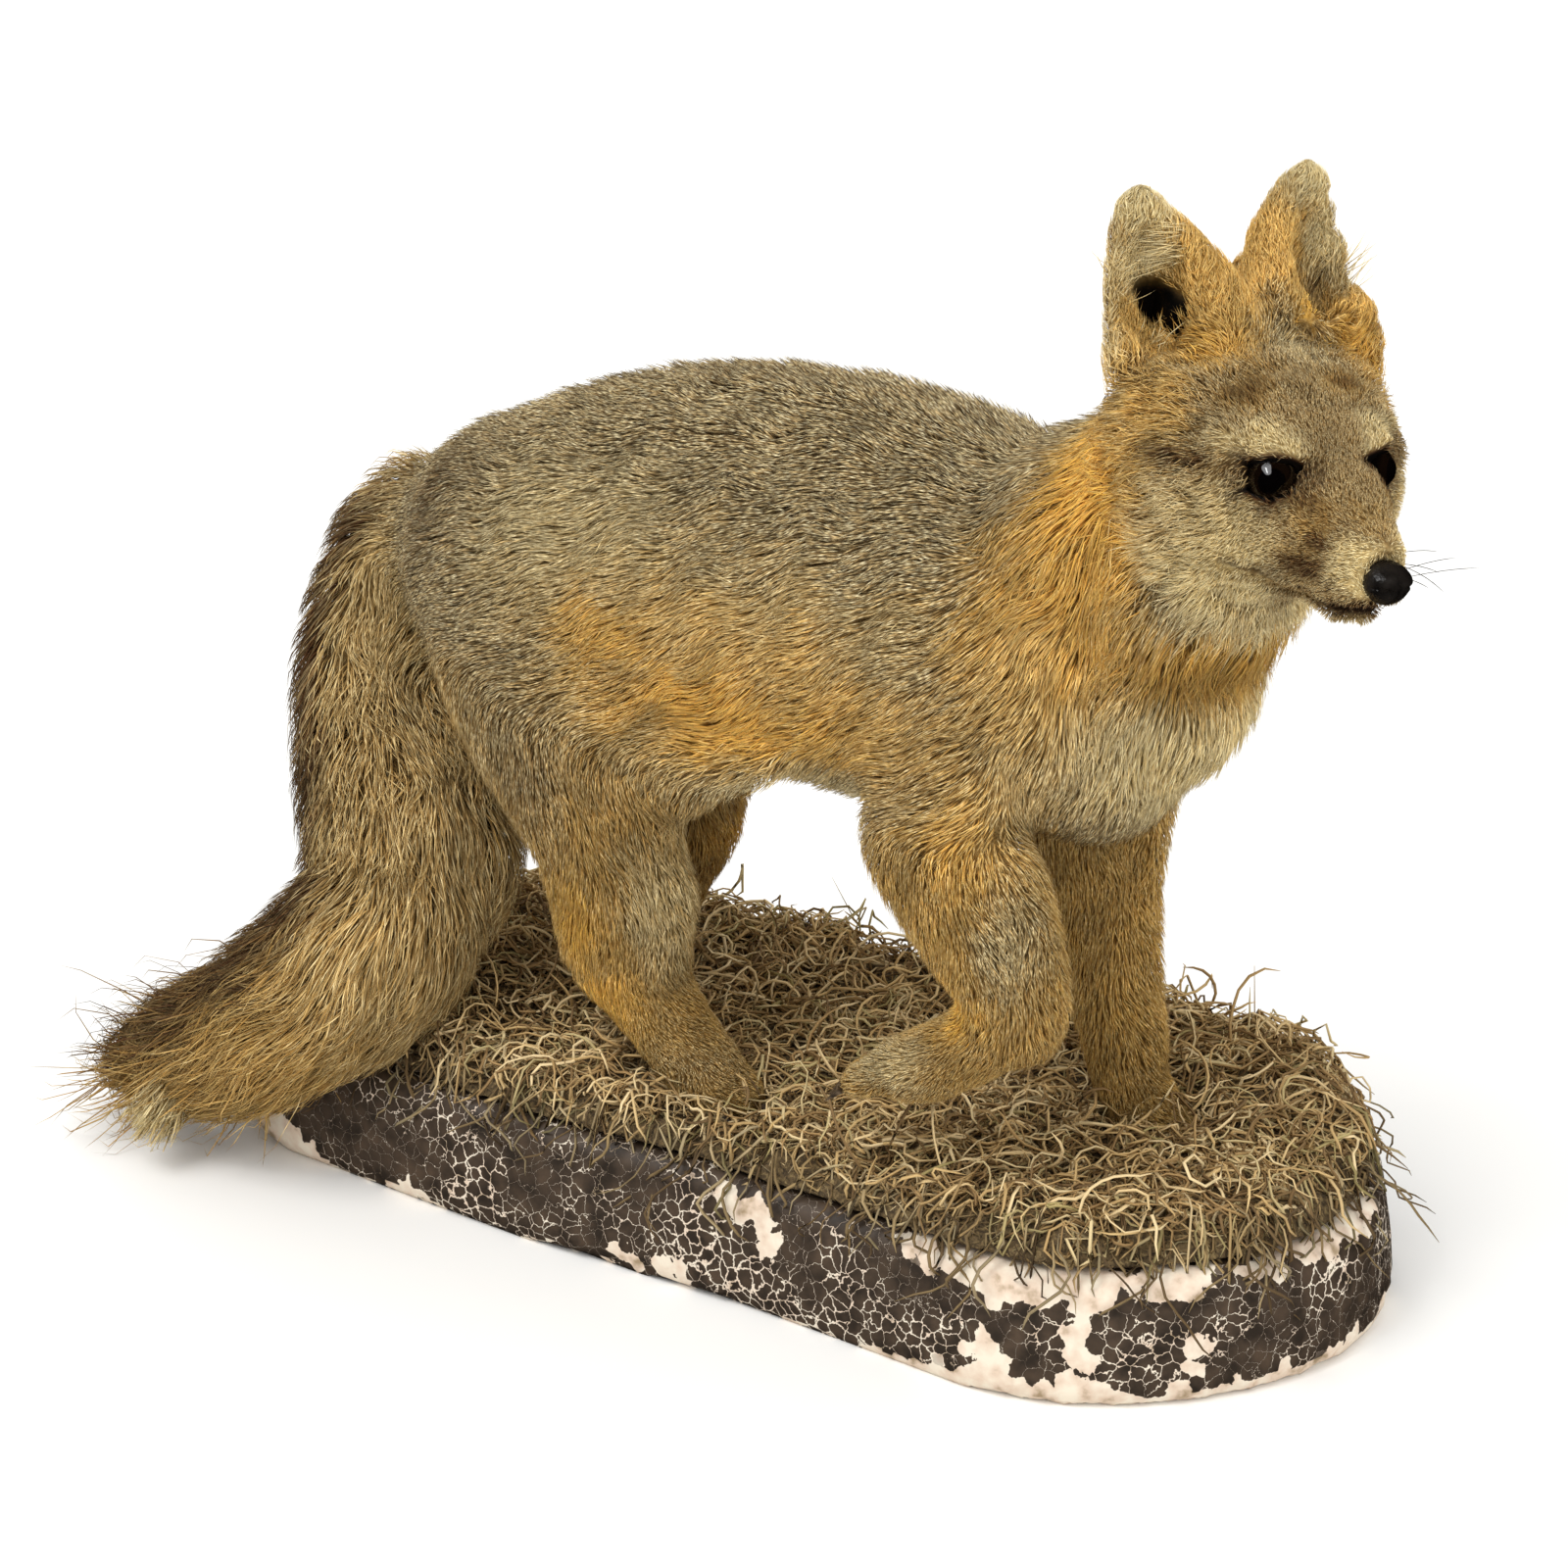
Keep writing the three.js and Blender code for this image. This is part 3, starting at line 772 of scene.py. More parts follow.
# ---- markings, shared by skin and coat
# Soft ellipsoids in the animal's millimetres: tone, middle, radii, strength. Each shows on both sides.
bodyMarks = [
    ("cream", (-30, 73, 336), (62, 32, 42), 0.45),
    ("cream", (64, 80, 290), (106, 36, 54), 0.46),
    ("rust", (64, 80, 288), (104, 36, 52), 0.58),
    ("rust", (54, 78, 268), (96, 34, 32), 0.9),
    ("rust", (-6, 82, 292), (36, 22, 28), 0.85),
    ("rust", (122, 76, 284), (48, 34, 34), 0.6),
    ("dark", (-128, 46, 338), (12, 32, 36), 0.6),
    ("cream", (50, 20, 236), (120, 56, 18), 0.55),
    ("rust", (236, 60, 398), (38, 44, 66), 1.0),
    ("rust", (222, 70, 330), (44, 34, 62), 0.95),
    ("cream", (214, 72, 316), (26, 30, 34), 0.25),
    ("rust", (190, 80, 268), (36, 26, 34), 0.45),
    ("cream", (268, 16, 282), (54, 70, 40), 0.95),
    ("cream", (304, 10, 366), (40, 64, 32), 1.0),
    ("rust", (284, 30, 322), (48, 62, 22), 1.0),
    ("dark", (286, 30, 320), (44, 58, 14), 0.55),
    ("rust", (196, 76, 240), (36, 30, 50), 0.75),
    ("cream", (206, 60, 270), (26, 30, 30), 0.3),
    ("gray", (220, 74, 206), (17, 18, 28), 0.9),
    ("cream", (224, 74, 204), (12, 14, 22), 0.3),
    ("rust", (194, 76, 168), (20, 20, 15), 1.0),
    ("gray", (154, 78, 133), (26, 22, 18), 0.75),
    ("cream", (152, 78, 138), (24, 20, 14), 0.45),
    ("rust", (196, 46, 150), (30, 16, 70), 0.75),
    ("cream", (20, 22, 214), (46, 26, 46), 0.6),
    ("cream", (22, 56, 160), (15, 26, 40), 0.65),
    ("rust", (-20, 66, 150), (24, 26, 34), 1.0),
    ("dark", (-20, 66, 150), (24, 26, 34), 0.3),
    ("gray", (-50, 76, 232), (44, 30, 56), 0.75),
    ("dark", (-46, 74, 196), (26, 30, 46), 0.35),
    ("rust", (-4, 60, 114), (24, 22, 24), 0.9),
    ("gray", (44, 52, 90), (28, 26, 16), 0.6),
    ("dark", (50, 52, 88), (28, 26, 14), 0.2),
    ("dark", (-40, 0, 404), (190, 16, 30), 0.3),
    ("dark", (-120, 40, 330), (40, 40, 50), 0.25),
]
# The same for the head, in its own millimetres.
headMarks = [
    ("dark", (-22, 0, 40), (34, 34, 16), 0.25),
    ("cream", (-2, 27, 15), (19, 14, 9), 0.8),
    ("cream", (-16, 38, 15), (18, 14, 8), 0.6),
    ("cream", (-18, 50, -18), (32, 26, 14), 0.75),
    ("cream", (-12, 44, -34), (26, 22, 16), 1.0),
    ("cream", (-36, 44, -56), (46, 44, 36), 1.0),
    ("rust", (-24, 48, -26), (34, 24, 26), 0.2),
    ("cream", (36, 12, -26), (17, 15, 13), 1.0),
    ("cream", (14, 25, -9), (9, 7, 4), 0.6),
    ("cream", (30, 6, -50), (26, 14, 8), 0.4),
    ("rust", (-50, 58, 20), (28, 18, 22), 0.55),
    ("rust", (-66, 18, 46), (26, 28, 30), 0.8),
    ("rust", (-60, 60, -10), (26, 20, 30), 0.6),
    ("rust", (28, 4, -8), (16, 7, 8), 0.3),
    ("rust", (-28, 23, 30), (12, 15, 11), 0.6),
    ("dark", (-28, 23, 30), (10, 14, 10), 0.8),
    ("dark", (-18, 12, 36), (10, 8, 8), 0.4),
    ("dark", (14, 5, 14), (26, 5, 16), 0.3),
    ("rust", (18, 18, -14), (9, 9, 13), 0.55),
    ("dark", (18, 18, -11), (9, 9, 10), 0.6),
    ("dark", (20, 18, -20), (7, 8, 5), 1.0),
    ("dark", (17, 19, -26), (9, 8, 7), 0.85),
    ("rust", (14, 20, -29), (12, 10, 8), 0.4),
    ("dark", (14, 20, -31), (11, 10, 6), 0.9),
    ("dark", (5, 28, -38), (12, 9, 6), 0.45),
    ("dark", (2, 34, -13), (12, 9, 2.8), 0.75),
    ("dark", (10, 16, 2), (8, 5, 7), 0.4),
]
# The two ears differ, so these keep their side.
earMarks = [
    ("cream", (-82, -46, 94), (24, 17, 12), 1.0),
    ("dark", (-82, -52, 82), (12, 7, 5), 0.5),
    ("cream", (-80, -44, 72), (14, 14, 12), 0.85),
    ("cream", (-78, -56, 60), (12, 5, 30), 0.7),
    ("cream", (-78, -44, 30), (12, 9, 9), 0.6),
    ("cream", (-78, 37, 102), (22, 17, 12), 1.0),
    ("cream", (-78, 48, 78), (16, 10, 28), 0.95),
    ("dark", (-78, 50, 82), (12, 2.5, 16), 0.3),
    ("dark", (-78, 29, 92), (8, 3, 7), 0.5),
    # The next two paint the small hollow low on the left ear dark brown: painted shade.
    ("rust", (-74, 47, 58), (14, 6, 8), 0.55),
    ("dark", (-74, 46, 58), (16, 5, 7), 0.78),
    ("cream", (-72, 56, 62), (8, 4, 8), 0.7),
]
# On the crown the gold of the left ear ends at a fold, painted dark as its shade, with woolly gray below it.
crownMarks = [
    ("gray", (-54, 12, 44), (16, 11, 20), 0.95),
    ("gray", (-50, 24, 34), (16, 16, 12), 0.9),
    ("cream", (-48, 16, 40), (10, 10, 10), 0.35),
    ("dark", (-44, -10, 33), (12, 14, 8), 0.5),
    ("rust", (-62, 26, 52), (14, 11, 9), 1.0),
    ("rust", (-62, 54, 40), (12, 12, 14), 0.9),
]
eyeStripe = dict(
    line=[(-6, 36, 2), (-14, 45, 4), (-20, 52, 4), (-30, 60, 4), (-44, 67, 4), (-54, 70, 2)],
    width=4.2,
)
tailLine = [(-150, 0, 316), (-185, -6, 288), (-191, -18, 250), (-184, -28, 216), (-160, -42, 184),
            (-136, -66, 152), (-140, -94, 112), (-180, -114, 77), (-240, -122, 42), (-290, -125, 26)]
# Rust, cream and dark of plain fur, before its marks.
plainTones = dict(head=(0.18, 0.06, 0.34), ear=(0.78, 0.17, 0.14))
legTones = dict(rust=0.14, rustBelow=0.46, cream=0.1, dark=0.3, darkBelow=0.06)
# The tail's under value is painted shade, on the side of its middle towards the body.
tailTones = dict(rust=0.3, rustEnd=0.4, cream=0.26, creamEnd=-0.14, dark=0.04, darkEnd=0.5, under=0.3,
                 stripe=0.96, tip=0.35)
# The way that the tail's stripe faces, above and near the tail's end.
stripeFacing = dict(above=(-1.0, -0.55, 0.1), end=(-0.4, -0.2, 0.85))


def markInto(tones, marks, points, side, size=26, soft=(0.45, 1.45)):
    channel = dict(rust=0, cream=1, dark=2, gray=-1)
    edge = 0.17 * ripple(points, size, 5) + 0.12 * ripple(points, size / 3, 6)
    for tone, middle, radii, strength in marks:
        away = np.column_stack([points[:, 0], side, points[:, 2]]) - np.array(middle)
        reach = np.linalg.norm(away / np.array(radii), axis=1) + edge
        share = strength * (1 - rise(reach, *soft))
        for other in range(3 if tone != "dark" else 0):
            if other != channel[tone]:
                tones[:, other] *= 1 - share
        if tone != "gray":
            tones[:, channel[tone]] = np.maximum(tones[:, channel[tone]], share)


def darken(tones, shares):
    tones[:, 2] = np.maximum(tones[:, 2], shares)


def nearParts(names, rounds):
    # 1 on the named nodes, falling off softly past their ends.
    return spread(np.isin(label, partOf(names)).astype(float), skinEdges, rounds)


def legsAndBody(points):
    tones = np.zeros((len(points), 4))
    legs = nearParts(("fore", "thigh", "shank", "hind"), 30)
    below = 1 - rise(points[:, 2], 200, 290)
    patchy = 0.5 + 0.5 * ripple(points, 22, 9)
    tones[:, 0] = legs * (legTones["rust"] + legTones["rustBelow"] * below) * (0.8 + 0.35 * patchy)
    tones[:, 1] = legs * legTones["cream"] * patchy
    tones[:, 2] = legs * (legTones["dark"] + legTones["darkBelow"] * below)
    markInto(tones, bodyMarks, points, np.abs(points[:, 1]), soft=(0.25, 1.55))
    return tones


def blendIn(tones, kind, marks, head, side, size, rounds):
    # The head's or the ears' own tones, blended into the rest.
    own = np.zeros_like(tones)
    own[:, :3] = plainTones[kind]
    markInto(own, marks, head, side, size)
    blend = nearParts((kind, "ear"), rounds)[:, None]
    return tones * (1 - blend) + own * blend


def markTail(tones, points):
    # A dark stripe above, paler sides and a darker end, and painted shade on the middle's side towards the body.
    _, _, share, centre = alongLine(points, tailLine)
    nearEnd = rise(share, 0.5, 0.7)[:, None]
    above, end = (unit(np.array(stripeFacing[key])) for key in ("above", "end"))
    dorsal = above * (1 - nearEnd) + end * nearEnd
    facing = (unit(points - centre) * unit(dorsal)).sum(1) + 0.1 * ripple(points, 20, 8)
    tail = nearParts("tail", 20)
    wider = 0.17 * rise(share, 0.5, 0.75) + 0.12 * rise(share, 0.8, 0.95)
    tip = rise(share, 0.92, 1.0) * tailTones["tip"]
    stripe = tail * np.maximum(rise(facing, 0.5 - wider, 0.86 - wider), tip)
    # Painted shade: the tail's middle is darker on its side towards the thigh.
    under = tail * rise(-facing, 0.3, 0.9) * rise(share, 0.15, 0.4) * (1 - rise(share, 0.62, 0.75))
    rust = tailTones["rust"] + tailTones["rustEnd"] * rise(share, 0.55, 0.8)
    cream = tailTones["cream"] + tailTones["creamEnd"] * rise(share, 0.25, 0.45)
    dark = tailTones["dark"] + tailTones["darkEnd"] * rise(share, 0.6, 0.85)
    tones[:, 0] += tail * rust * (1 - tones[:, 0])
    tones[:, 1] += tail * cream * (1 - tones[:, 1])
    darken(tones, tailTones["stripe"] * stripe)
    darken(tones, tailTones["under"] * under + tail * dark)


def markFace(tones, head, isHead):
    # The stripe behind each eye, and the dark rims of lids and lips; the lids' dark runs on into the eyes'
    # corners as painted shade.
    stripeGap = alongLine(mirrored(head), eyeStripe["line"])[0]
    darken(tones, isHead * (1 - rise(stripeGap, 0.35 * eyeStripe["width"], 1.2 * eyeStripe["width"])))
    ahead = rise(head[:, 0], -6, 22)
    lips = mouthGap / (1 + 0.5 * rise(head[:, 0], 10, 30))
    # Real black lid rims, spread into the eyes' corners as painted shade.
    darken(tones, 1 - rise(lidOutside, 0, 12))
    darken(tones, (1 - rise(lips, 1.2, 3.6)) * (0.5 + 0.5 * ahead))
    lipRim = (1 - rise(lips, 1.3, 3.3)) * (0.45 + 0.55 * ahead)
    # Bare dark skin at the lids and lips; in the ears' hollows and the eyes' corners it is painted shade.
    tones[:, 3] = np.maximum(np.maximum(1 - rise(lidOutside, -2, 5), 0.8 * lipRim), earHollowShade)


def tonesAt(points):
    # Rust, cream and dark for each point; what is left is the grizzled gray. The last is bare dark skin, with
    # painted shade in the ears' hollows and the eyes' corners.
    head = toHead(points)
    isHead = np.isin(label, partOf(("head", "ear")))
    tones = legsAndBody(points)
    tones = blendIn(tones, "head", headMarks, head, np.abs(head[:, 1]), 14, 24)
    tones = blendIn(tones, "ear", earMarks, head, head[:, 1], 12, 6)
    own = tones.copy()
    markInto(own, crownMarks, head, head[:, 1], 10)
    tones = np.where(isHead[:, None], own, tones)
    # Painted shade: the fold at the ear's base is darkened along its crease line.
    creaseGap = alongLine(head, earCrease["line"])[0] + ripple(head, 9, 12)
    darken(tones, isHead * (1 - rise(creaseGap, 0.3 * earCrease["width"], 1.5 * earCrease["width"])))
    markTail(tones, points)
    markFace(tones, head, isHead)
    return np.clip(tones, 0, 1)


tones = tonesAt(outer)

# ---- lie of the coat
flowLines = {
    "trunk": [(260, 0, 330), (-160, 0, 300)],
    "neck": [(300, -20, 420), (180, 0, 310)],
    "foreleg_right": [(190, -50, 330), (180, -60, 250), (203, -62, 200), (208, -62, 165)],
    "forepaw_right": [(208, -62, 168), (190, -62, 150), (145, -62, 125)],
    "foreleg_left": [(190, 45, 330), (180, 49, 240), (193, 47, 160), (206, 46, 105)],
    "forepaw_left": [(204, 46, 108), (212, 46, 90), (240, 46, 72)],
    "thigh_right": [(-80, -40, 340), (-60, -46, 250), (-24, -53, 200)],
    "shank_right": [(-24, -53, 205), (-12, -51, 172), (-4, -47, 122)],
    "hindpaw_right": [(-8, -47, 130), (6, -45, 108), (50, -42, 72)],
    "thigh_left": [(-86, 40, 340), (-80, 43, 280), (-52, 48, 205)],
    "shank_left": [(-52, 48, 205), (-56, 48, 172), (-82, 46, 122)],
    "hindpaw_left": [(-86, 46, 132), (-84, 44, 108), (-50, 42, 72)],
    "tail": tailLine,
}
droop = dict(trunk=0.42, neck=0.75, thigh=0.5)


def coatFlow():
    way = np.zeros_like(outer)
    for part, line in flowLines.items():
        mine = np.isin(label, partOf(part))
        way[mine] = alongLine(outer[mine], line)[1]
        way[mine, 2] -= droop.get(part.split("_")[0], 0)
    chest = rise(outer[:, 0], 170, 250) * np.isin(label, partOf("trunk"))
    way += chest[:, None] * np.array([0.4, 0, -1.6])
    head = toHead(outer)
    cheek = rise(np.abs(head[:, 1]), 18, 50)
    local = np.column_stack([np.full(len(head), -1.0), 0.3 * np.sign(head[:, 1]) * cheek, -0.35 * cheek])
    local[:, 2] -= 0.5 * rise(-head[:, 2], 40, 70)
    mine = np.isin(label, partOf("head"))
    way[mine] = (local @ headAxes.T)[mine]
    mine = np.isin(label, partOf("ear"))
    way[mine] = np.array([-0.35, 0, 0.94]) @ headAxes.T
    way = unit(way)
    for _ in range(24):
        way = spread(way, skinEdges, 1)
        way -= skinNormals * (way * skinNormals).sum(1)[:, None]
        way = unit(way)
    return way


flow = coatFlow()
print("markings and lie of the coat laid out")


# ---- coat colours, one node group for skin and coat
coatPalette = dict(
    grizzle=[(0.0, "5a492f"), (0.28, "8b7249"), (0.42, "d6bb86"), (0.52, "7a6342"), (0.62, "f6e8bc"),
             (0.72, "87704c"), (0.81, "e8d4a0"), (0.93, "33281a")],
    rust=[(0.0, "b08230"), (0.3, "ecb148"), (0.7, "ffcf60"), (1.0, "e9a942")],
    cream=[(0.0, "b49a62"), (0.35, "e8cd8e"), (0.8, "ffefbc"), (1.0, "e6cc8c")],
    dark=[(0.0, "523013"), (0.5, "563312"), (1.0, "1c0f06")],
    shift=0.66, brightness=(0.66, 1.36),
)


def makeCoatColour():
    tree = bpy.data.node_groups.new("coatColour", "ShaderNodeTree")
    for name, kind in (("Tone", "NodeSocketColor"), ("Hair", "NodeSocketColor")):
        tree.interface.new_socket(name, in_out="INPUT", socket_type=kind)
    tree.interface.new_socket("Colour", in_out="OUTPUT", socket_type="NodeSocketColor")
    given = addNode(tree, "NodeGroupInput")
    result = addNode(tree, "NodeGroupOutput")
    tone = addNode(tree, "ShaderNodeSeparateColor", {0: given.outputs["Tone"]}).outputs
    hair = addNode(tree, "ShaderNodeSeparateColor", {0: given.outputs["Hair"]}).outputs
    fromMiddle = addMath(tree, "SUBTRACT", hair[1], 0.5)
    shifted = addMath(tree, "MULTIPLY_ADD", fromMiddle, coatPalette["shift"], hair[0], clamp=True)
    colour = addRamp(tree, shifted, coatPalette["grizzle"])
    for index, name in enumerate(("rust", "cream", "dark")):
        colour = addMix(tree, tone[index], colour, addRamp(tree, shifted, coatPalette[name]))
    bright = addSpan(tree, hair[2], 0, 1, *coatPalette["brightness"])
    tree.links.new(addScaled(tree, colour, bright), result.inputs["Colour"])
    return tree


coatColour = makeCoatColour()


coatShine = dict(specular=0.25, tint="ecc98c")


def coatMaterial(name, roughness, sheen):
    material, tree, shader = newMaterial(name)
    group = addNode(tree, "ShaderNodeGroup", node_tree=coatColour)
    setInputs(tree, group, {"Tone": addAttribute(tree, "tone"), "Hair": addAttribute(tree, "hair")})
    setInputs(tree, shader, {
        "Base Color": group.outputs["Colour"], "Roughness": roughness, "Sheen Weight": sheen,
        "Specular IOR Level": coatShine["specular"], "Sheen Tint": paint(coatShine["tint"]),
    })
    return material, tree, shader


# Each coat's roughness and sheen.
coatGloss = dict(
    grizzledCoat=(0.62, 0.15),
    rufousCoat=(0.6, 0.2),
    faceCoat=(0.66, 0.12),
    tailCoat=(0.58, 0.2),
)
coatMaterials = {name: coatMaterial(name, *gloss)[0] for name, gloss in coatGloss.items()}
# The first colour is for bare dark skin and for painted shade in the ears' hollows and the eyes' corners.
skinFinish = dict(bare="070504", wet=0.35, dry=0.75, specular=0.15, fuzz=1500, bump=0.6, bareBump=0.1,
                  bumpDepth=0.0008)


def finishSkin():
    mesh = skin.data
    writeVerts(mesh, inner)
    smoothFaces(mesh)
    addColours(mesh, "tone", tones)
    hair = np.ones((len(inner), 4))
    hair[:, 0] = 0.3 + 0.16 * ripple(inner, 3, 21)
    hair[:, 1] = 0.5
    hair[:, 2] = 0.3
    addColours(mesh, "hair", np.clip(hair, 0, 1))
    material, tree, shader = coatMaterial("skinCoat", 0.7, 0)
    # One near-black for bare skin and for the painted shade of the ears' hollows and the eyes' corners.
    bare = addAttribute(tree, "tone", "Alpha")
    fur = shader.inputs["Base Color"].links[0].from_socket
    setInputs(tree, shader, {
        "Specular IOR Level": skinFinish["specular"],
        "Base Color": addMix(tree, bare, fur, paint(skinFinish["bare"])),
        "Roughness": addSpan(tree, bare, 0.3, 1, skinFinish["dry"], skinFinish["wet"]),
    })
    fuzz = addNoise(tree, addPlace(tree), skinFinish["fuzz"], 3)
    rough = addSpan(tree, bare, 0, 1, skinFinish["bump"], skinFinish["bareBump"])
    addBump(tree, shader, fuzz, rough, skinFinish["bumpDepth"])
    onlyMaterial(mesh, material)
    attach(skin, "root")
    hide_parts(*fleshNodes)


finishSkin()


# The skin's own unwrap, which every tuft's patch is taken from.
def unwrapSkin():
    bpy.context.view_layer.objects.active = skin
    skin.select_set(True)
    bpy.ops.object.mode_set(mode="EDIT")
    bpy.ops.mesh.select_all(action="SELECT")
    bpy.ops.uv.smart_project(angle_limit=math.radians(60), island_margin=0.002)
    bpy.ops.object.mode_set(mode="OBJECT")
    skin.select_set(False)
    layer = skin.data.uv_layers.active
    layer.name = "OFBake"
    corners = np.empty(len(layer.data) * 2, np.float32)
    layer.data.foreach_get("uv", corners)
    return corners.reshape(-1, 3, 2)


skinUv = unwrapSkin()
print("skin finished and unwrapped")

# ---- the coat
coat = dict(share=0.8, quickShare=0.4, jitter=0.17, headJitter=0.4, sway=0.22, tousle=0.28, clumpSize=5.5,
            clump=0.2, toneJitter=2.5, tailEndShort=0.45, chinShort=0.8, patch=0.003, rootDepth=0.6,
            middleLift=0.72, tipLift=1.08, tipLiftLess=0.55, shadeWaves=0.12, shadeClumps=0.22, shadeJitter=0.15)
# A tuft's section is flattened, and its rings past thinFrom of the way are thinner.
tuftForm = dict(flat=0.6, thinFrom=0.6, thin=0.62, lowest=0.4)
# The most triangles in one piece of coat.
coatLimit = 190000
shortRings, longRings = (0.45,), (0.35, 0.72)
coatPieces = {
    "coatTrunk": dict(parts=("trunk",), material="grizzledCoat", slot="grizzled_coat", rings=shortRings),
    "coatNeck": dict(parts=("neck",), material="rufousCoat", slot="rufous_coat", rings=shortRings),
    "coatHead": dict(parts=("head",), material="faceCoat", slot="face_coat", rings=shortRings),
    "coatEars": dict(parts=("ear",), material="faceCoat", slot="face_coat", rings=shortRings),
    "coatForelegs": dict(parts=("fore",), material="grizzledCoat", slot="grizzled_coat", rings=shortRings),
    "coatHindlegs": dict(parts=("thigh", "shank", "hindpaw"), material="rufousCoat", slot="rufous_coat",
                         rings=shortRings),
    "coatTail": dict(parts=("tail",), material="tailCoat", slot="tail_coat", rings=longRings),
}
skinTree = treeOf(inner, skinTriangles)
headness = nearParts(("head", "ear"), 12)


def faceMean(values, faces):
    return values[skinTriangles[faces]].mean(1)


def nearest(points):
    places, faces = np.empty_like(points), np.empty(len(points), int)
    for index, point in enumerate(points.tolist()):
        place, _, face, _ = skinTree.find_nearest(point)
        places[index] = place
        faces[index] = face
    return places, faces


def plantRoots(draw, faces):
    wanted = triangleAreas(inner, skinTriangles)[faces] * faceMean(coatField["cover"], faces) / 100
    # No tufts on bare lids and lips, nor in the ears' hollows painted as shade.
    bare = np.maximum(1 - rise(lidOutside, -2, 4), 1 - rise(mouthGap, 1.4, 2.6))
    bare = faceMean(np.maximum(bare, rise(earHollowShade, 0.3, 0.8)), faces)
    wanted *= (1 - bare) * coat["share"]
    ends = np.cumsum(wanted)
    count = int(ends[-1])
    picked = np.searchsorted(ends, (np.arange(count) + draw.uniform(size=count)) * ends[-1] / count)
    picked = faces[np.clip(picked, 0, len(faces) - 1)]
    u, v = draw.uniform(size=(2, count))
    flip = u + v > 1
    u[flip], v[flip] = 1 - u[flip], 1 - v[flip]
    return picked, np.column_stack([1 - u - v, u, v])


def atCorners(values, faces, weights):
    return (values[skinTriangles[faces]] * weights[..., None]).sum(1)


def turned(ways, normals, angles):
    return ways * np.cos(angles)[:, None] + np.cross(normals, ways) * np.sin(angles)[:, None]


def tuftLengths(draw, roots, faces, weights):
    # Shorter at the mouth, the chin, the tail's end and its torn corner.
    head = toHead(roots)
    lengths = atCorners(coatField["length"][:, None], faces, weights)[:, 0]
    lengths = lengths * draw.uniform(0.7, 1.15, len(roots))
    lengths *= 0.5 + 0.5 * rise(faceMean(mouthGap, faces), 2, 12)
    chin = rise(head[:, 0], -8, 10) * rise(-head[:, 2], 36, 44) * (faceMean(headness, faces) > 0.5)
    onTail = np.isin(label[skinTriangles[faces, 0]], partOf("tail"))
    lengths *= 1 - coat["chinShort"] * chin
    lengths *= 1 - coat["tailEndShort"] * rise(alongLine(roots, tailLine)[2] * onTail, 0.8, 0.97)
    return lengths * (1 - tailTrim["short"] * tornShare(roots))


def gathered(draw, roots, tips):
    # Draws the tips of each clump towards their mean, and gives each tuft's clump.
    cells = np.floor(roots / coat["clumpSize"] + ripple(roots, 15, 33)[:, None] * 0.4).astype(np.int64)
    clumps = np.unique(cells @ np.array([1, 4099, 16785407]), return_inverse=True)[1].ravel()
    means = [np.bincount(clumps, tips[:, k]) / np.bincount(clumps) for k in range(3)]
    gather = coat["clump"] * draw.uniform(0.3, 1, len(roots))[:, None]
    return tips + gather * (np.column_stack(means)[clumps] - tips), clumps


def combed(draw, faces, weights):
    # Root, middle and tip of each tuft, lying over the skin along the coat's flow.
    roots = atCorners(inner, faces, weights)
    normals = unit(atCorners(skinNormals, faces, weights))
    count = len(roots)
    onHead = faceMean(headness, faces)
    lengths = tuftLengths(draw, roots, faces, weights)
    angles = draw.normal(0, 1, count) * (coat["jitter"] + onHead * (coat["headJitter"] - coat["jitter"]))
    angles = angles + coat["sway"] * (ripple(roots, 30, 31) + onHead * ripple(roots, 11, 32))
    ways = turned(unit(atCorners(flow, faces, weights)), normals, angles)
    middles, midFaces = nearest(roots + ways * lengths[:, None] * 0.5)
    midNormals = unit(faceMean(skinNormals, midFaces))
    midWays = turned(unit(faceMean(flow, midFaces)), midNormals, angles)
    tips, tipFaces = nearest(middles + midWays * lengths[:, None] * 0.5)
    tipNormals = unit(faceMean(skinNormals, tipFaces))
    depthAt = faceMean(coatField["depth"], midFaces)
    tipDepth = np.minimum(faceMean(coatField["depth"], tipFaces), depthAt * 1.2)
    lift = coat["tipLift"] - coat["tipLiftLess"] * draw.uniform(size=count) ** 2
    lift = lift * (1 + coat["tousle"] * (0.4 + onHead) * np.minimum(ripple(roots, 12, 34), 0.5))
    middles = middles + midNormals * (depthAt * coat["middleLift"] * lift)[:, None]
    tips, clumps = gathered(draw, roots, tips + tipNormals * (tipDepth * lift)[:, None])
    return dict(roots=roots - normals * coat["rootDepth"], middles=middles, tips=tips, normals=normals,
                tipNormals=tipNormals, lengths=lengths, clumps=clumps,
                uv=(skinUv[faces] * weights[..., None]).sum(1))


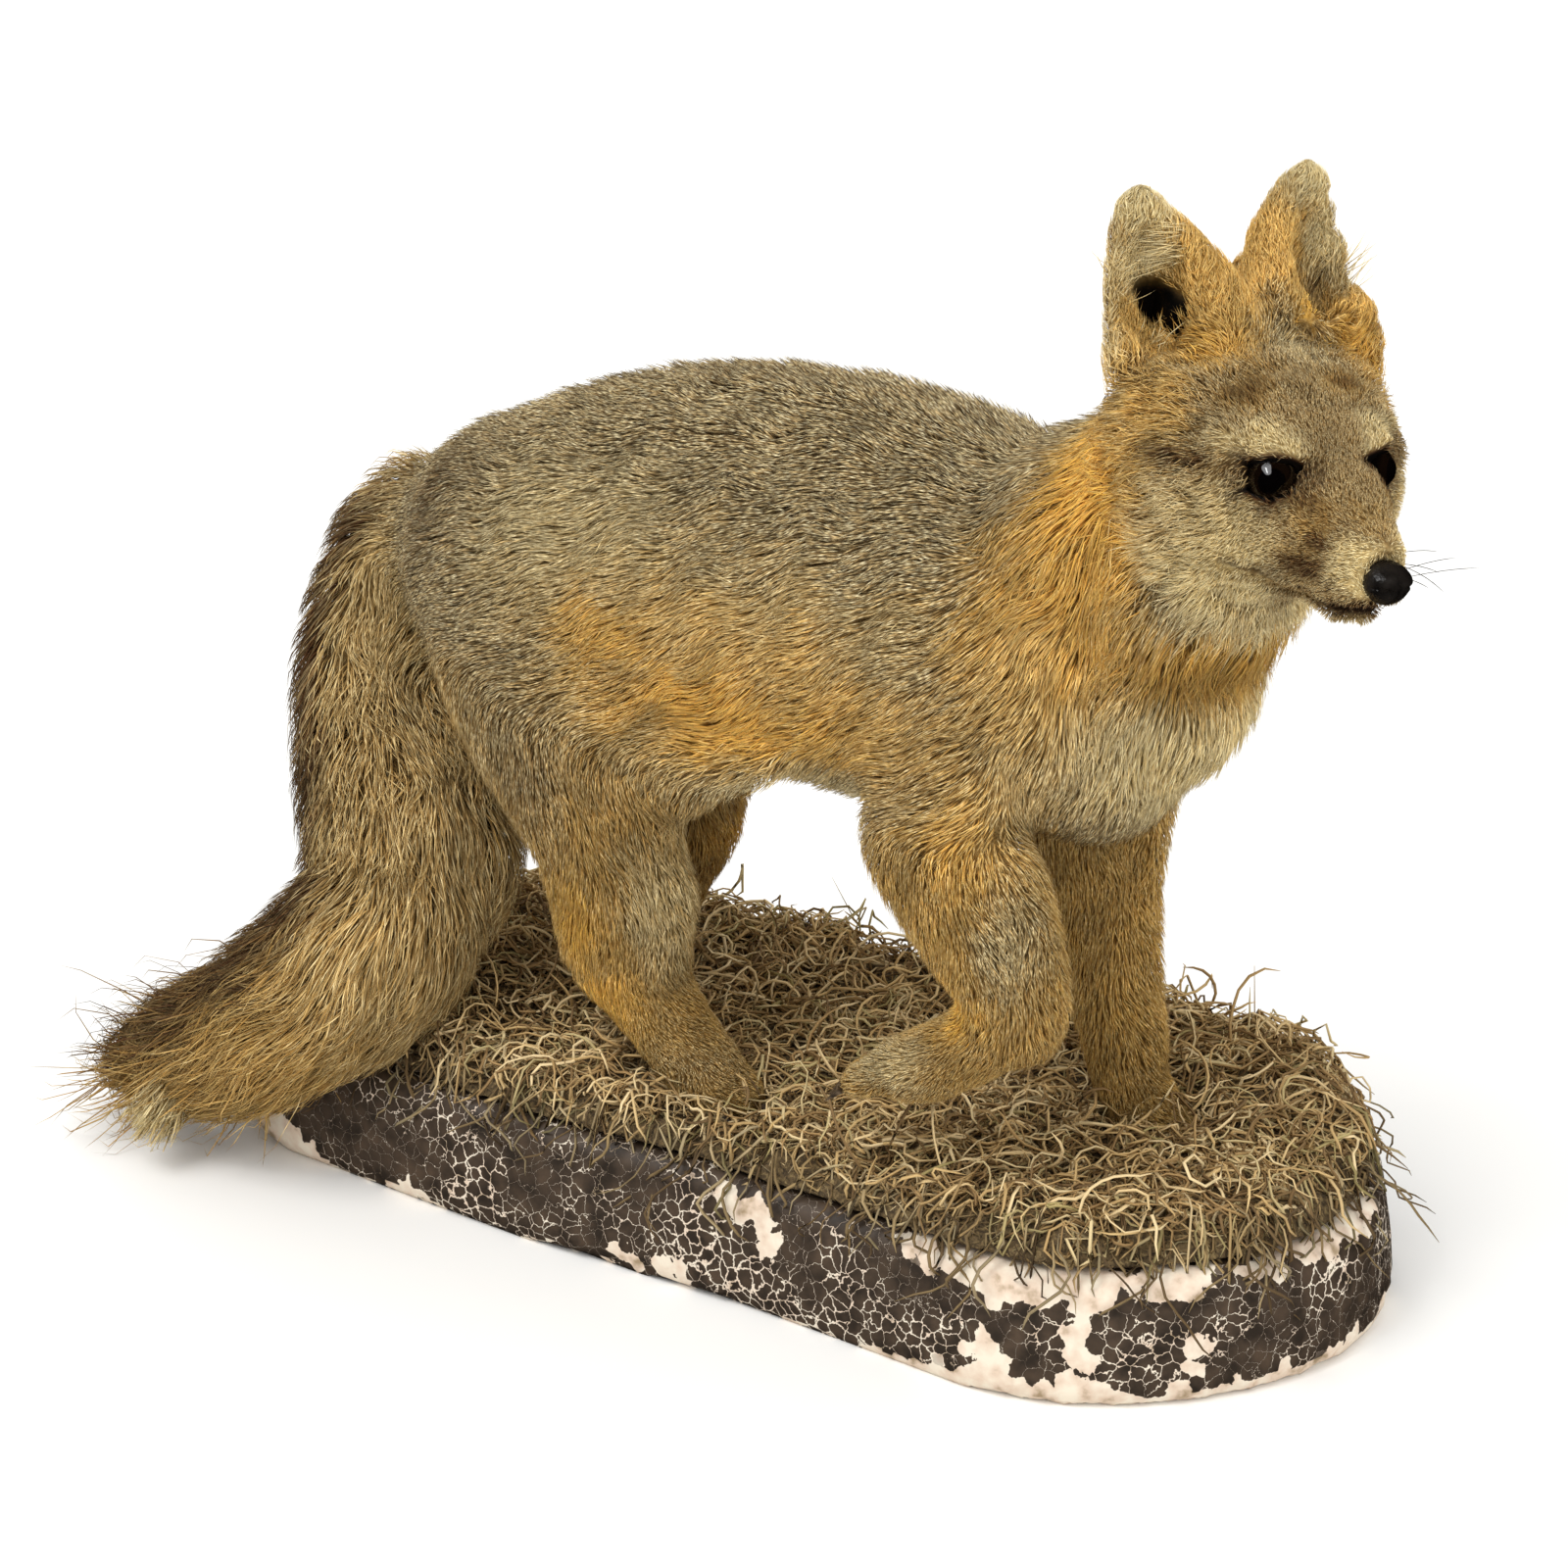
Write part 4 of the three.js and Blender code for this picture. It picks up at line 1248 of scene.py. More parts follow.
def tuftPiece(name, lie, widths, toneAt, hair, rings, choose):
    # Each tuft is a spindle: a point at the root, rings of three along it and a point at the tip.
    roots, middles, tips = (lie[key][choose] for key in ("roots", "middles", "tips"))
    count = len(roots)
    corners = 3 * len(rings) + 2
    places = np.empty((count, corners, 3))
    along = np.empty(corners)
    patch = np.zeros((corners, 2))
    places[:, 0], along[0], patch[0] = roots, 0, (0, -0.5)
    for index, t in enumerate(rings):
        centre = (1 - t) * (1 - 2 * t) * roots + 4 * t * (1 - t) * middles + t * (2 * t - 1) * tips
        way = unit((4 * t - 3) * roots + 4 * (1 - 2 * t) * middles + (4 * t - 1) * tips)
        normal = lie["normals"][choose] * (1 - t) + lie["tipNormals"][choose] * t
        side = unit(np.cross(way, normal))
        upward = np.cross(side, way)
        thick = widths[choose] * (1 if t < tuftForm["thinFrom"] else tuftForm["thin"]) / 2
        for corner in range(3):
            angle = math.pi / 2 + corner * 2 * math.pi / 3
            spot = 1 + index * 3 + corner
            reach = side * math.cos(angle) + upward * tuftForm["flat"] * math.sin(angle)
            places[:, spot] = centre + reach * thick[:, None]
            along[spot] = t
            patch[spot] = (corner / 2 - 0.5, t - 0.5)
    places[:, -1], along[-1], patch[-1] = tips, 1, (0, 0.5)
    places[:, :, 2] = np.maximum(places[:, :, 2], tuftForm["lowest"])
    last = corners - 4
    shape = [(1 + corner, 1 + (corner + 1) % 3, 0) for corner in range(3)]
    for index in range(len(rings) - 1):
        for corner in range(3):
            a, b = 1 + index * 3 + corner, 1 + index * 3 + (corner + 1) % 3
            shape += [(a, a + 3, b), (b, a + 3, b + 3)]
    shape += [(last + corner, corners - 1, last + (corner + 1) % 3) for corner in range(3)]
    triangles = (np.arange(count)[:, None, None] * corners + np.array(shape)[None]).reshape(-1, 3)
    mesh = triangleMesh(name, places.reshape(-1, 3), triangles)
    addColours(mesh, "tone", np.repeat(toneAt[choose], corners, axis=0))
    strands = np.ones((count, corners, 4))
    strands[:, :, 0] = along
    strands[:, :, 1] = hair[choose, 0][:, None]
    strands[:, :, 2] = hair[choose, 1][:, None]
    addColours(mesh, "hair", strands.reshape(-1, 4))
    uv = (lie["uv"][choose][:, None] + patch[None] * coat["patch"]).reshape(-1, 2)
    addUv(mesh, "OFBake", uv, triangles)
    return linkPiece(name, mesh)


def tuftTones(draw, lie):
    # The markings under each tip, read a little to one side so that their edges mix hair by hair.
    aside = draw.normal(0, coat["toneJitter"], (len(lie["tips"]), 3))
    faces = nearest(lie["tips"] + aside * np.minimum(lie["lengths"] / 12, 1.6)[:, None])[1]
    toneAt = faceMean(tones, faces) * draw.uniform(0.75, 1.2, (len(faces), 1))
    toneAt[:, 3] = 1
    return np.clip(toneAt, 0, 1)


def growCoat():
    total = 0
    triangleLabels = label[skinTriangles[:, 0]]
    for order, (name, kind) in enumerate(coatPieces.items()):
        draw = np.random.default_rng(100 + order)
        faces, weights = plantRoots(draw, np.where(np.isin(triangleLabels, partOf(kind["parts"])))[0])
        lie = combed(draw, faces, weights)
        count = len(faces)
        widths = atCorners(coatField["width"][:, None], faces, weights)[:, 0] * draw.uniform(0.7, 1.2, count)
        clumpShade = draw.uniform(size=lie["clumps"].max() + 1)[lie["clumps"]]
        shade = 0.5 + coat["shadeWaves"] * ripple(lie["roots"], 28, 41) + coat["shadeClumps"] * (clumpShade - 0.5)
        toneAt = tuftTones(draw, lie)
        streak = draw.uniform(size=count)
        shade = np.clip(shade + draw.normal(0, coat["shadeJitter"], count), 0, 1)
        hair = np.column_stack([streak, shade])
        tuftTriangles = 6 * len(kind["rings"])
        chunks = math.ceil(count * tuftTriangles / coatLimit)
        fromBehind = np.argsort(lie["roots"][:, 0], kind="stable")
        for part in range(chunks):
            choose = fromBehind[part * count // chunks:(part + 1) * count // chunks]
            full = name if chunks == 1 else name + str(part + 1)
            piece = tuftPiece(full, lie, widths, toneAt, hair, kind["rings"], choose)
            piece.data.materials.append(coatMaterials[kind["material"]])
            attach(piece, "root")
            total += len(piece.data.polygons)
        print(name, count, "tufts")
    print("coat triangles:", total)


growCoat()


# ---- longer locks that stand apart: ear hairs, the tail's ragged end
def lockPiece(name, draw, rows, width, tone, material):
    # rows holds a root, a middle and a tip for each lock, in the animal's millimetres.
    roots, faces = nearest(rows[:, 0])
    normals = unit(faceMean(skinNormals, faces))
    count = len(roots)
    lie = dict(roots=roots - normals * coat["rootDepth"], middles=rows[:, 1], tips=rows[:, 2],
               normals=normals, tipNormals=normals, uv=skinUv[faces].mean(1))
    toneAt = np.clip(np.array(tone) * draw.uniform(0.6, 1.2, (count, 1)), 0, 1)
    toneAt = np.column_stack([toneAt, np.ones(count)])
    hair = np.column_stack([draw.uniform(size=count), draw.uniform(0.25, 0.75, count)])
    widths = width * draw.uniform(0.6, 1.2, count)
    piece = tuftPiece(name, lie, widths, toneAt, hair, longRings, np.arange(count))
    piece.data.materials.append(coatMaterials[material])
    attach(piece, "root")


def sweptRows(draw, count, start, end, reach, bow, scatter, fan):
    # Locks planted between two points, swept by reach, fanned out and bowed on the way.
    start, end = np.array(start, float), np.array(end, float)
    roots = start + (end - start) * draw.uniform(size=(count, 1)) + draw.normal(0, scatter, (count, 3))
    swept = np.array(reach) + draw.normal(0, fan * np.linalg.norm(reach), (count, 3))
    tips = roots + swept * draw.uniform(0.45, 1.2, (count, 1))
    middles = (roots + tips) / 2 + np.array(bow)
    return fromHead(np.stack([roots, middles, tips], axis=1))


# Hairs over each ear's rim and out of its hollow.
earLocks = [
    dict(count=150, start=(-75, -22, 84), end=(-73, -24, 69), reach=(-4, -22, 0), bow=(2, 0, 1.5),
         scatter=1.6, fan=0.16),
    dict(count=24, start=(-76, -42, 37), end=(-72, -24, 34), reach=(2, 3, 6), bow=(1.5, -1, 1),
         scatter=1.6, fan=0.4),
    dict(count=60, start=(-80, -54, 50), end=(-80, -54, 76), reach=(2, 4, 10), bow=(2, -1, 0),
         scatter=1.8, fan=0.4),
    dict(count=60, start=(-72, 54, 48), end=(-74, 50, 60), reach=(1, 8, 15), bow=(2, -1, 0),
         scatter=2.2, fan=0.35),
]
earLockTones = (0.05, 0.85, 0.12)


def growEarLocks():
    draw = np.random.default_rng(131)
    rows = np.concatenate([sweptRows(draw, **kind) for kind in earLocks])
    lockPiece("earLocks", draw, rows, 0.5, earLockTones, "faceCoat")


growEarLocks()
tailEnd = dict(locks=700, length=46, width=0.9, past=10, floor=2, wool=260, woolAt=(-222, -152, 30),
               woolSize=16, woolTones=(0.1, 0.85, 0.05))


def raggedEnd(draw):
    # Locks over the last third of the tail, kept close to the solids' box.
    middles = inner[skinTriangles].mean(1)
    share = alongLine(middles, tailLine)[2]
    onTail = np.isin(label[skinTriangles[:, 0]], partOf("tail"))
    weights = triangleAreas(inner, skinTriangles) * onTail * rise(share, 0.62, 0.95)
    faces = draw.choice(len(weights), tailEnd["locks"], p=weights / weights.sum())
    roots = middles[faces]
    normals = unit(faceMean(skinNormals, faces))
    ways = unit(faceMean(flow, faces) + draw.normal(0, 0.28, (len(faces), 3)))
    lengths = tailEnd["length"] * draw.uniform(0.5, 1.25, (len(faces), 1))
    depth = faceMean(coatField["depth"], faces)[:, None]
    bends = roots + ways * lengths * 0.5 + normals * depth * draw.uniform(0.7, 1.3, (len(faces), 1))
    tips = roots + ways * lengths + normals * depth * draw.uniform(0.6, 1.5, (len(faces), 1))
    low, high = toAnimal(cadBox[0]) - tailEnd["past"], toAnimal(cadBox[1]) + tailEnd["past"]
    low[2] = tailEnd["floor"]
    rows = np.stack([roots, np.clip(bends, low, high), np.clip(tips, low, high)], axis=1)
    return rows, faceMean(tones, faces)[:, :3]


def woolTuft(draw):
    # Bare underwool, standing out every way from one place at the tail's torn corner.
    around = unit(draw.normal(size=(tailEnd["wool"], 3)))
    roots = np.array(tailEnd["woolAt"]) + around * 4
    tips = roots + around * tailEnd["woolSize"] * draw.uniform(0.4, 1.0, (len(around), 1))
    bends = (roots + tips) / 2 + draw.normal(0, 3, (len(around), 3))
    rows = np.stack([roots, bends, tips], axis=1)
    rows[:, :, 2] = np.maximum(rows[:, :, 2], tailEnd["floor"])
    return rows


def growTailEnd():
    draw = np.random.default_rng(141)
    rows, toneAt = raggedEnd(draw)
    lockPiece("tailRaggedEnd", draw, rows, tailEnd["width"], toneAt, "tailCoat")
    rows = woolTuft(draw)
    lockPiece("tailWool", draw, rows, tailEnd["width"], tailEnd["woolTones"], "tailCoat")


growTailEnd()
print("ear and tail locks grown")


# ---- eyes, nose and claws
def sphereForm(name, radius, segments=48, rings=32):
    made = bmesh.new()
    bmesh.ops.create_uvsphere(made, u_segments=segments, v_segments=rings, radius=radius)
    mesh = bpy.data.meshes.new(name)
    made.to_mesh(mesh)
    made.free()
    smoothFaces(mesh)
    return mesh


# The glass eye's colours, the sizes of iris and pupil as shares of a right angle, and the left eye's look.
glass = dict(iris="0c0603", ring="050302", pupil="030202", irisSize=0.6, pupilSize=0.36, bulge=0.7,
             look=(0.8, 0.578, 0.08), streaks=900, wobble=0.05, roughness=0.05, specular=0.5)


def makeEye(side, centre, nodeName):
    mesh = sphereForm("eyeGlass" + side, eyeForm["radius"])
    look = unit(np.array(glass["look"]) * (1, np.sign(centre[1]), 1))
    local = ownVerts(mesh).astype(float)
    facing = unit(local) @ look
    local *= (1 + glass["bulge"] / eyeForm["radius"] * rise(facing, 0.86, 1.0))[:, None]
    writeVerts(mesh, fromHead(local + np.array(centre)))
    angle = np.degrees(np.arccos(np.clip(facing, -1, 1)))
    addColours(mesh, "gaze", np.repeat(angle[:, None] / 90, 4, axis=1))
    piece = linkPiece("eyeGlass" + side, mesh)
    material, tree, shader = newMaterial("glassEye" + side)
    streaks = addMath(tree, "SUBTRACT", addNoise(tree, addPlace(tree), glass["streaks"], 3), 0.5)
    wobbled = addMath(tree, "MULTIPLY_ADD", streaks, glass["wobble"], addAttribute(tree, "gaze", 2))
    inside, outside = glass["pupilSize"], glass["irisSize"]
    stops = [(0.0, glass["pupil"]), (inside * 0.92, glass["pupil"]), (inside, glass["iris"]),
             (outside * 0.9, glass["iris"]), (outside, glass["ring"]), (1.0, glass["pupil"])]
    setInputs(tree, shader, {
        "Base Color": addRamp(tree, wobbled, stops), "Roughness": glass["roughness"],
        "Specular IOR Level": glass["specular"],
    })
    mesh.materials.append(material)
    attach(piece, "root")
    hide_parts(nodeName)


makeEye("Right", eyeForm["right"], "eye_right")
makeEye("Left", eyeForm["left"], "eye_left")

nose = dict(centre=(44.5, 0, -31), size=(9, 10, 8.8), flat=0.24, narrow=0.18, under=1.2, grooveDepth=1.1,
            grooveWidth=0.8, pebbles=1100, cloud=160, bump=0.35, bumpDepth=0.0004, specular=0.25)
# Dents in each half of the nose pad: middle, radii and depth.
nostrils = [((6.6, 4.6, -1.6), (3.0, 2.1, 1.7), 2.6), ((3.2, 7.6, -0.6), (3.6, 3, 0.9), 1.4)]


def makeNose():
    mesh = sphereForm("nosePad", 1, 96, 64)
    way = unit(ownVerts(mesh).astype(float))
    local = way * np.array(nose["size"])
    local[:, 2] *= 1 - nose["flat"] * rise(local[:, 2], 0, 8) * rise(local[:, 0], -4, 6)
    lower = rise(-local[:, 2], 0, 9)
    local[:, 1] *= 1 - nose["narrow"] * lower
    local[:, 0] -= nose["under"] * lower
    half = mirrored(local)
    groove = np.exp(-(local[:, 1] / nose["grooveWidth"]) ** 2)
    groove *= rise(way[:, 0], 0.2, 0.7) * rise(-local[:, 2], -3, 1)
    dent = nose["grooveDepth"] * groove
    for middle, radii, depth in nostrils:
        away = np.linalg.norm((half - np.array(middle)) / np.array(radii), axis=1)
        dent += depth * np.exp(-away ** 2)
    writeVerts(mesh, fromHead(local - way * dent[:, None] + np.array(nose["centre"])))
    piece = linkPiece("nosePad", mesh)
    material, tree, shader = newMaterial("noseSkin")
    place = addPlace(tree)
    pebbles = addNode(tree, "ShaderNodeTexVoronoi", {"Vector": place, "Scale": nose["pebbles"]}).outputs[0]
    cloud = addNoise(tree, place, nose["cloud"], 4)
    setInputs(tree, shader, {
        "Base Color": addRamp(tree, cloud, [(0.3, "0c0a09"), (0.7, "201b17")]),
        "Roughness": addSpan(tree, cloud, 0.3, 0.7, 0.22, 0.42), "Specular IOR Level": nose["specular"],
    })
    addBump(tree, shader, pebbles, nose["bump"], nose["bumpDepth"])
    mesh.materials.append(material)
    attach(piece, "root")
    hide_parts("nose_pad")


makeNose()


def hornMaterial(name, scale, detail, stops, roughness):
    material, tree, shader = newMaterial(name)
    colour = addRamp(tree, addNoise(tree, addPlace(tree), scale, detail), stops)
    setInputs(tree, shader, {"Base Color": colour, "Roughness": roughness})
    return material


def finishClaws():
    material = hornMaterial("clawHorn", 400, 3, [(0.3, "2a211a"), (0.75, "6a5844")], 0.35)
    for name in nodes:
        if name.startswith("claw"):
            onlyMaterial(nodes[name].data, material)


finishClaws()
whisker = dict(count=6, farLength=38, nearLength=12, thick=0.18, steps=10)


def growWhiskers():
    draw = np.random.default_rng(151)
    steps = np.linspace(0, 1, whisker["steps"])[:, None]
    lines = []
    for side, length in ((1, whisker["farLength"]), (-1, whisker["nearLength"])):
        for _ in range(whisker["count"]):
            root = np.array([draw.uniform(27, 37), side * draw.uniform(10, 12), draw.uniform(-35, -25)])
            way = unit(np.array([draw.uniform(0.1, 0.5), side, draw.uniform(-0.25, 0.3)]))
            sag = np.array([-0.12, 0, -0.14]) * length * draw.uniform(0.4, 1.4)
            far = length * draw.uniform(0.6, 1.1)
            lines.append(fromHead(root + way * far * steps + sag * steps ** 2))
    lines = np.array(lines)
    values = np.tile([0.0, 0.0, 0.0, 1.0], (len(lines), 1))
    material = hornMaterial("whiskerHorn", 300, 2, [(0.3, "17110c"), (0.7, "3a2e24")], 0.4)
    radii = np.full(len(lines), whisker["thick"])
    for piece in strandPieces("whiskers", lines, radii, values, material, len(lines)):
        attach(piece, "root")


print("eyes, nose and claws made")


# ---- the slab
slabForm = dict(voxel=0.006, fairing=3, bumps=0.5, bumpSize=45)
# bend and nibble are in metres: how far the cells' edges wander.
crackle = dict(cell=150, crack=0.026, bend=0.009, nibble=0.0028, wornFrom=0.66, wornTo=0.67, grain=0.25,
               bump=0.6, bumpDepth=0.0008, dark="32271c", brown="544231", ground="e8dcc8", pink="dac4ae",
               stain="a08a6c")
# Where the paint has worn off, in the animal's millimetres: middle, radii and strength.
slabMarks = [
    ((250, -90, 60), (88, 34, 14), 0.72),
    ((310, 10, 60), (60, 120, 10), 0.3),
    ((270, -92, 2), (110, 40, 11), 0.5),
    ((320, 30, 2), (50, 100, 12), 0.36),
    ((262, -84, 36), (11, 16, 26), 0.42),
    ((300, -50, 26), (16, 18, 20), 0.18),
    ((322, -10, 30), (14, 18, 22), 0.14),
    ((225, -95, 20), (14, 12, 14), 0.3),
    ((88, -100, 54), (36, 14, 9), 0.5),
    ((105, -98, 40), (9, 10, 12), 0.35),
    ((20, -100, 8), (50, 20, 7), 0.3),
    ((-190, -105, 8), (44, 30, 14), 0.5),
    ((-215, -90, 25), (16, 20, 12), 0.4),
    ((-100, -104, 6), (20, 20, 8), 0.3),
    ((-20, 145, 50), (60, 30, 14), 0.4),
    ((160, 140, 14), (40, 30, 16), 0.4),
    ((-225, 60, 20), (30, 40, 20), 0.4),
]


def wander(tree, place, noise, amount):
    # Moves a place by up to about half the amount each way.
    centred = addVector(tree, "SUBTRACT", noise, (0.5, 0.5, 0.5))
    return addVector(tree, "MULTIPLY_ADD", centred, (amount,) * 3, place)


def wornPaint(tree, place, cellAt):
    # Grows to over the wear level where whole cells of paint have come off.
    loss = addNoise(tree, cellAt, 16, 4, Roughness=0.65)
    height = addNode(tree, "ShaderNodeSeparateXYZ", {0: place}).outputs[2]
    worn = addMath(tree, "ADD", loss, addSpan(tree, height, 0.001, 0.008, 0.1, 0.0))
    for middle, radii, strength in slabMarks:
        away = addVector(tree, "SUBTRACT", cellAt, toFrame(middle).tolist())
        scaled = addVector(tree, "MULTIPLY", away, [1000 / radius for radius in radii])
        reach = addVector(tree, "LENGTH", scaled, output="Value")
        worn = addMath(tree, "ADD", worn, addSpan(tree, reach, 0.3, 1.3, strength * 0.75, 0.0))
    return worn


def crackledPaint():
    material, tree, shader = newMaterial("crackledPaint")
    place = addPlace(tree)
    bent = wander(tree, place, addNoise(tree, place, 60, 3, 1), crackle["bend"])
    bent = wander(tree, bent, addNoise(tree, place, 420, 3, 1), crackle["nibble"])
    links = {"Vector": bent, "Scale": crackle["cell"]}
    edges = addNode(tree, "ShaderNodeTexVoronoi", links, feature="DISTANCE_TO_EDGE").outputs[0]
    cellAt = addNode(tree, "ShaderNodeTexVoronoi", links).outputs["Position"]
    worn = wornPaint(tree, place, cellAt)
    kept = addSpan(tree, worn, crackle["wornFrom"], crackle["wornTo"], 1.0, 0.0)
    opening = addSpan(tree, addNoise(tree, place, 22, 3), 0.42, 0.66, 0.15, 1.6)
    width = addMath(tree, "MULTIPLY", opening, crackle["crack"])
    gone = addSpan(tree, kept, 0, 1, 3.2, 1.0)
    edge = addMath(tree, "DIVIDE", edges, addMath(tree, "MULTIPLY", width, gone))
    painted = addMath(tree, "MULTIPLY", kept, addSpan(tree, edge, 0.7, 1.6))
    tint = addNoise(tree, place, 90, 5)
    dark = addRamp(tree, tint, [(0.35, crackle["dark"]), (0.7, crackle["brown"])])
    pale = addRamp(tree, tint, [(0.3, crackle["stain"]), (0.42, crackle["pink"]), (0.6, crackle["ground"])])
    setInputs(tree, shader, {
        "Base Color": addMix(tree, painted, pale, dark),
        "Roughness": addSpan(tree, painted, 0, 1, 0.85, 0.55),
    })
    grain = addMath(tree, "MULTIPLY_ADD", tint, crackle["grain"], painted)
    addBump(tree, shader, grain, crackle["bump"], crackle["bumpDepth"])
    return material


def makeSlab():
    piece = mergedCopy("slabCast", ["base_slab"])
    voxelForm(piece, slabForm["voxel"])
    mesh = piece.data
    places = fair(readVerts(mesh), readEdges(mesh), slabForm["fairing"])
    places[:, 2] = np.maximum(places[:, 2], 0)
    bumps = ripple(places, slabForm["bumpSize"], 51) * slabForm["bumps"] * rise(places[:, 2], 2, 12)
    places[:, :2] += bumps[:, None] * unit(places - places.mean(0))[:, :2]
    writeVerts(mesh, places)
    smoothFaces(mesh)
    onlyMaterial(mesh, crackledPaint())
    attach(piece, "root")
    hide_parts("base_slab")
    return places


slabPlaces = makeSlab()
print("slab made")

# ---- the moss
moss = dict(strands=5000, quickStrands=3300, steps=9, radius=0.78, step=6.4, curl=1.05, bedDrop=5, chunk=3400,
            loose=0.13, looseRise=36, sway=2.2, overhang=12, slabTop=60)
mossBed = dict(voxel=0.005, fairing=4, top=(62, 72), lowest=60.4, bump=1, bumpDepth=0.003, cloud=220)
# The mound round each planted paw, in metres.
pawMound = dict(radius=0.036, height=0.066, stretch=(1.5, 1.1, 0.22, 1))
# Heaps of moss: middle, reach and height in mm.
mossHeaps = [
    ((-150, -8), 62, 22), ((-120, 60), 50, 10), ((240, 55), 55, 9), ((150, 85), 60, 7), ((230, -50), 50, 4),
    ((-72, 98), 40, 13), ((-4, 112), 42, 16), ((76, 122), 40, 11), ((158, 134), 42, 13), ((232, 136), 40, 13),
    ((284, 104), 36, 9),
]
mossColours = [(0.0, "6b5230"), (0.25, "9c7d4f"), (0.55, "c6a770"), (0.8, "dec697"), (1.0, "9f8f5a")]


def heapAt(places):
    total = np.zeros(len(places))
    for middle, reach, height in mossHeaps:
        away = np.linalg.norm(places[:, :2] - np.array(middle), axis=1)
        total += height * np.exp(-(away / reach) ** 2)
    return total


def mossBedShade():
    material, tree, shader = newMaterial("mossBedShade")
    cloud = addNoise(tree, addPlace(tree), mossBed["cloud"], 6, Distortion=2)
    # Painted shade: the bed under the strands is dark brown with paler patches, for the shade deep in the tangle.
    colour = addRamp(tree, cloud, [(0.3, "2c2216"), (0.55, "6e5a3a"), (0.75, "9c865a")])
    setInputs(tree, shader, {"Base Color": colour, "Roughness": 0.9})
    addBump(tree, shader, cloud, mossBed["bump"], mossBed["bumpDepth"])
    return material


def makeMossBed():
    piece = mergedCopy("mossMat", ["moss_bed"])
    made = bmesh.new()
    made.from_mesh(piece.data)
    for paw in ("forepaw_left", "hindpaw_left", "hindpaw_right"):
        low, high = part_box(paw)
        middle = ((low.x + high.x) / 2, (low.y + high.y) / 2, pawMound["height"])
        place = Matrix.Translation(middle) @ Matrix.Diagonal(pawMound["stretch"])
        bmesh.ops.create_icosphere(made, subdivisions=3, radius=pawMound["radius"], matrix=place)
    made.to_mesh(piece.data)
    made.free()
    voxelForm(piece, mossBed["voxel"])
    mesh = piece.data
    places = fair(readVerts(mesh), readEdges(mesh), mossBed["fairing"])
    top = rise(places[:, 2], *mossBed["top"])
    places[:, 2] -= top * (moss["bedDrop"] + 2.8 * ripple(places, 24, 61) + 1.3 * ripple(places, 8, 62))
    places[:, 2] += top * heapAt(places)
    places[:, 2] = np.maximum(places[:, 2], mossBed["lowest"])
    writeVerts(mesh, places)
    smoothFaces(mesh)
    onlyMaterial(mesh, mossBedShade())
    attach(piece, "root")
    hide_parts("moss_bed")
    return piece


def mossMaterial():
    material, tree, shader = newMaterial("mossStrand")
    parts = addNode(tree, "ShaderNodeSeparateColor", {0: addAttribute(tree, "strand")}).outputs
    # The strand's second value is painted shade: strands low in the tangle are darker.
    colour = addScaled(tree, addRamp(tree, parts[0], mossColours), addSpan(tree, parts[1], 0, 1, 0.4, 1.15))
    setInputs(tree, shader, {"Base Color": colour, "Roughness": 0.8})
    return material


def strandPieces(name, lines, radii, values, material, chunk):
    # Thin three-sided tubes along lines of equal counts of points.
    count, steps = lines.shape[:2]
    ways = unit(np.gradient(lines, axis=1))
    side = unit(np.cross(ways, np.array([0.31, 0.17, 0.93])))
    upward = np.cross(side, ways)
    taper = np.clip(1.25 - 1.1 * np.abs(np.linspace(-1, 1, steps)) ** 3, 0.2, 1)
    corners = steps * 3
    rings = np.empty((count, steps, 3, 3))
    for corner in range(3):
        angle = corner * 2 * math.pi / 3
        reach = radii[:, None, None] * taper[None, :, None]
        rings[:, :, corner] = lines + (side * math.cos(angle) + upward * math.sin(angle)) * reach
    shape = [(0, 2, 1), (corners - 3, corners - 2, corners - 1)]
    for index in range(steps - 1):
        for corner in range(3):
            a, b = index * 3 + corner, index * 3 + (corner + 1) % 3
            shape += [(a, b, a + 3), (b, b + 3, a + 3)]
    pieces = []
    for start in range(0, count, chunk):
        mine = rings[start:start + chunk].reshape(-1, 3)
        many = min(chunk, count - start)
        triangles = (np.arange(many)[:, None, None] * corners + np.array(shape)[None]).reshape(-1, 3)
        mesh = triangleMesh(name + str(start // chunk + 1), mine, triangles)
        addColours(mesh, "strand", np.repeat(values[start:start + chunk], corners, axis=0))
        mesh.materials.append(material)
        pieces.append(linkPiece(mesh.name, mesh))
    return pieces


def curledLines(draw, places, triangles):
    # Each strand starts on the bed's upper side and keeps turning as it goes.
    normals = vertNormals(places, triangles)
    upper = triangles[normals[triangles].mean(1)[:, 2] > -0.3]
    count = moss["strands"]
    areas = np.cumsum(triangleAreas(places, upper))
    picked = np.searchsorted(areas, draw.uniform(size=count) * areas[-1])
    starts = places[upper[picked]].sum(1) / 3
    lines = np.empty((count, moss["steps"], 3))
    heading = unit(np.column_stack([draw.normal(size=(count, 2)), draw.normal(0, 0.35, count)]))
    bend = unit(draw.normal(size=(count, 3)))
    angle = (draw.uniform(0.3, 1.0, count) * moss["curl"])[:, None]
    stepLength = moss["step"] * draw.uniform(0.6, 1.3, count)
    lines[:, 0] = starts + np.column_stack([np.zeros((count, 2)), draw.uniform(-1, 7, count)])
    for index in range(1, moss["steps"]):
        heading = unit(heading * np.cos(angle) + np.cross(bend, heading) * np.sin(angle))
        bend = unit(bend + draw.normal(0, 0.28, (count, 3)))
        lines[:, index] = lines[:, index - 1] + heading * stepLength[:, None]
    return lines, stepLength


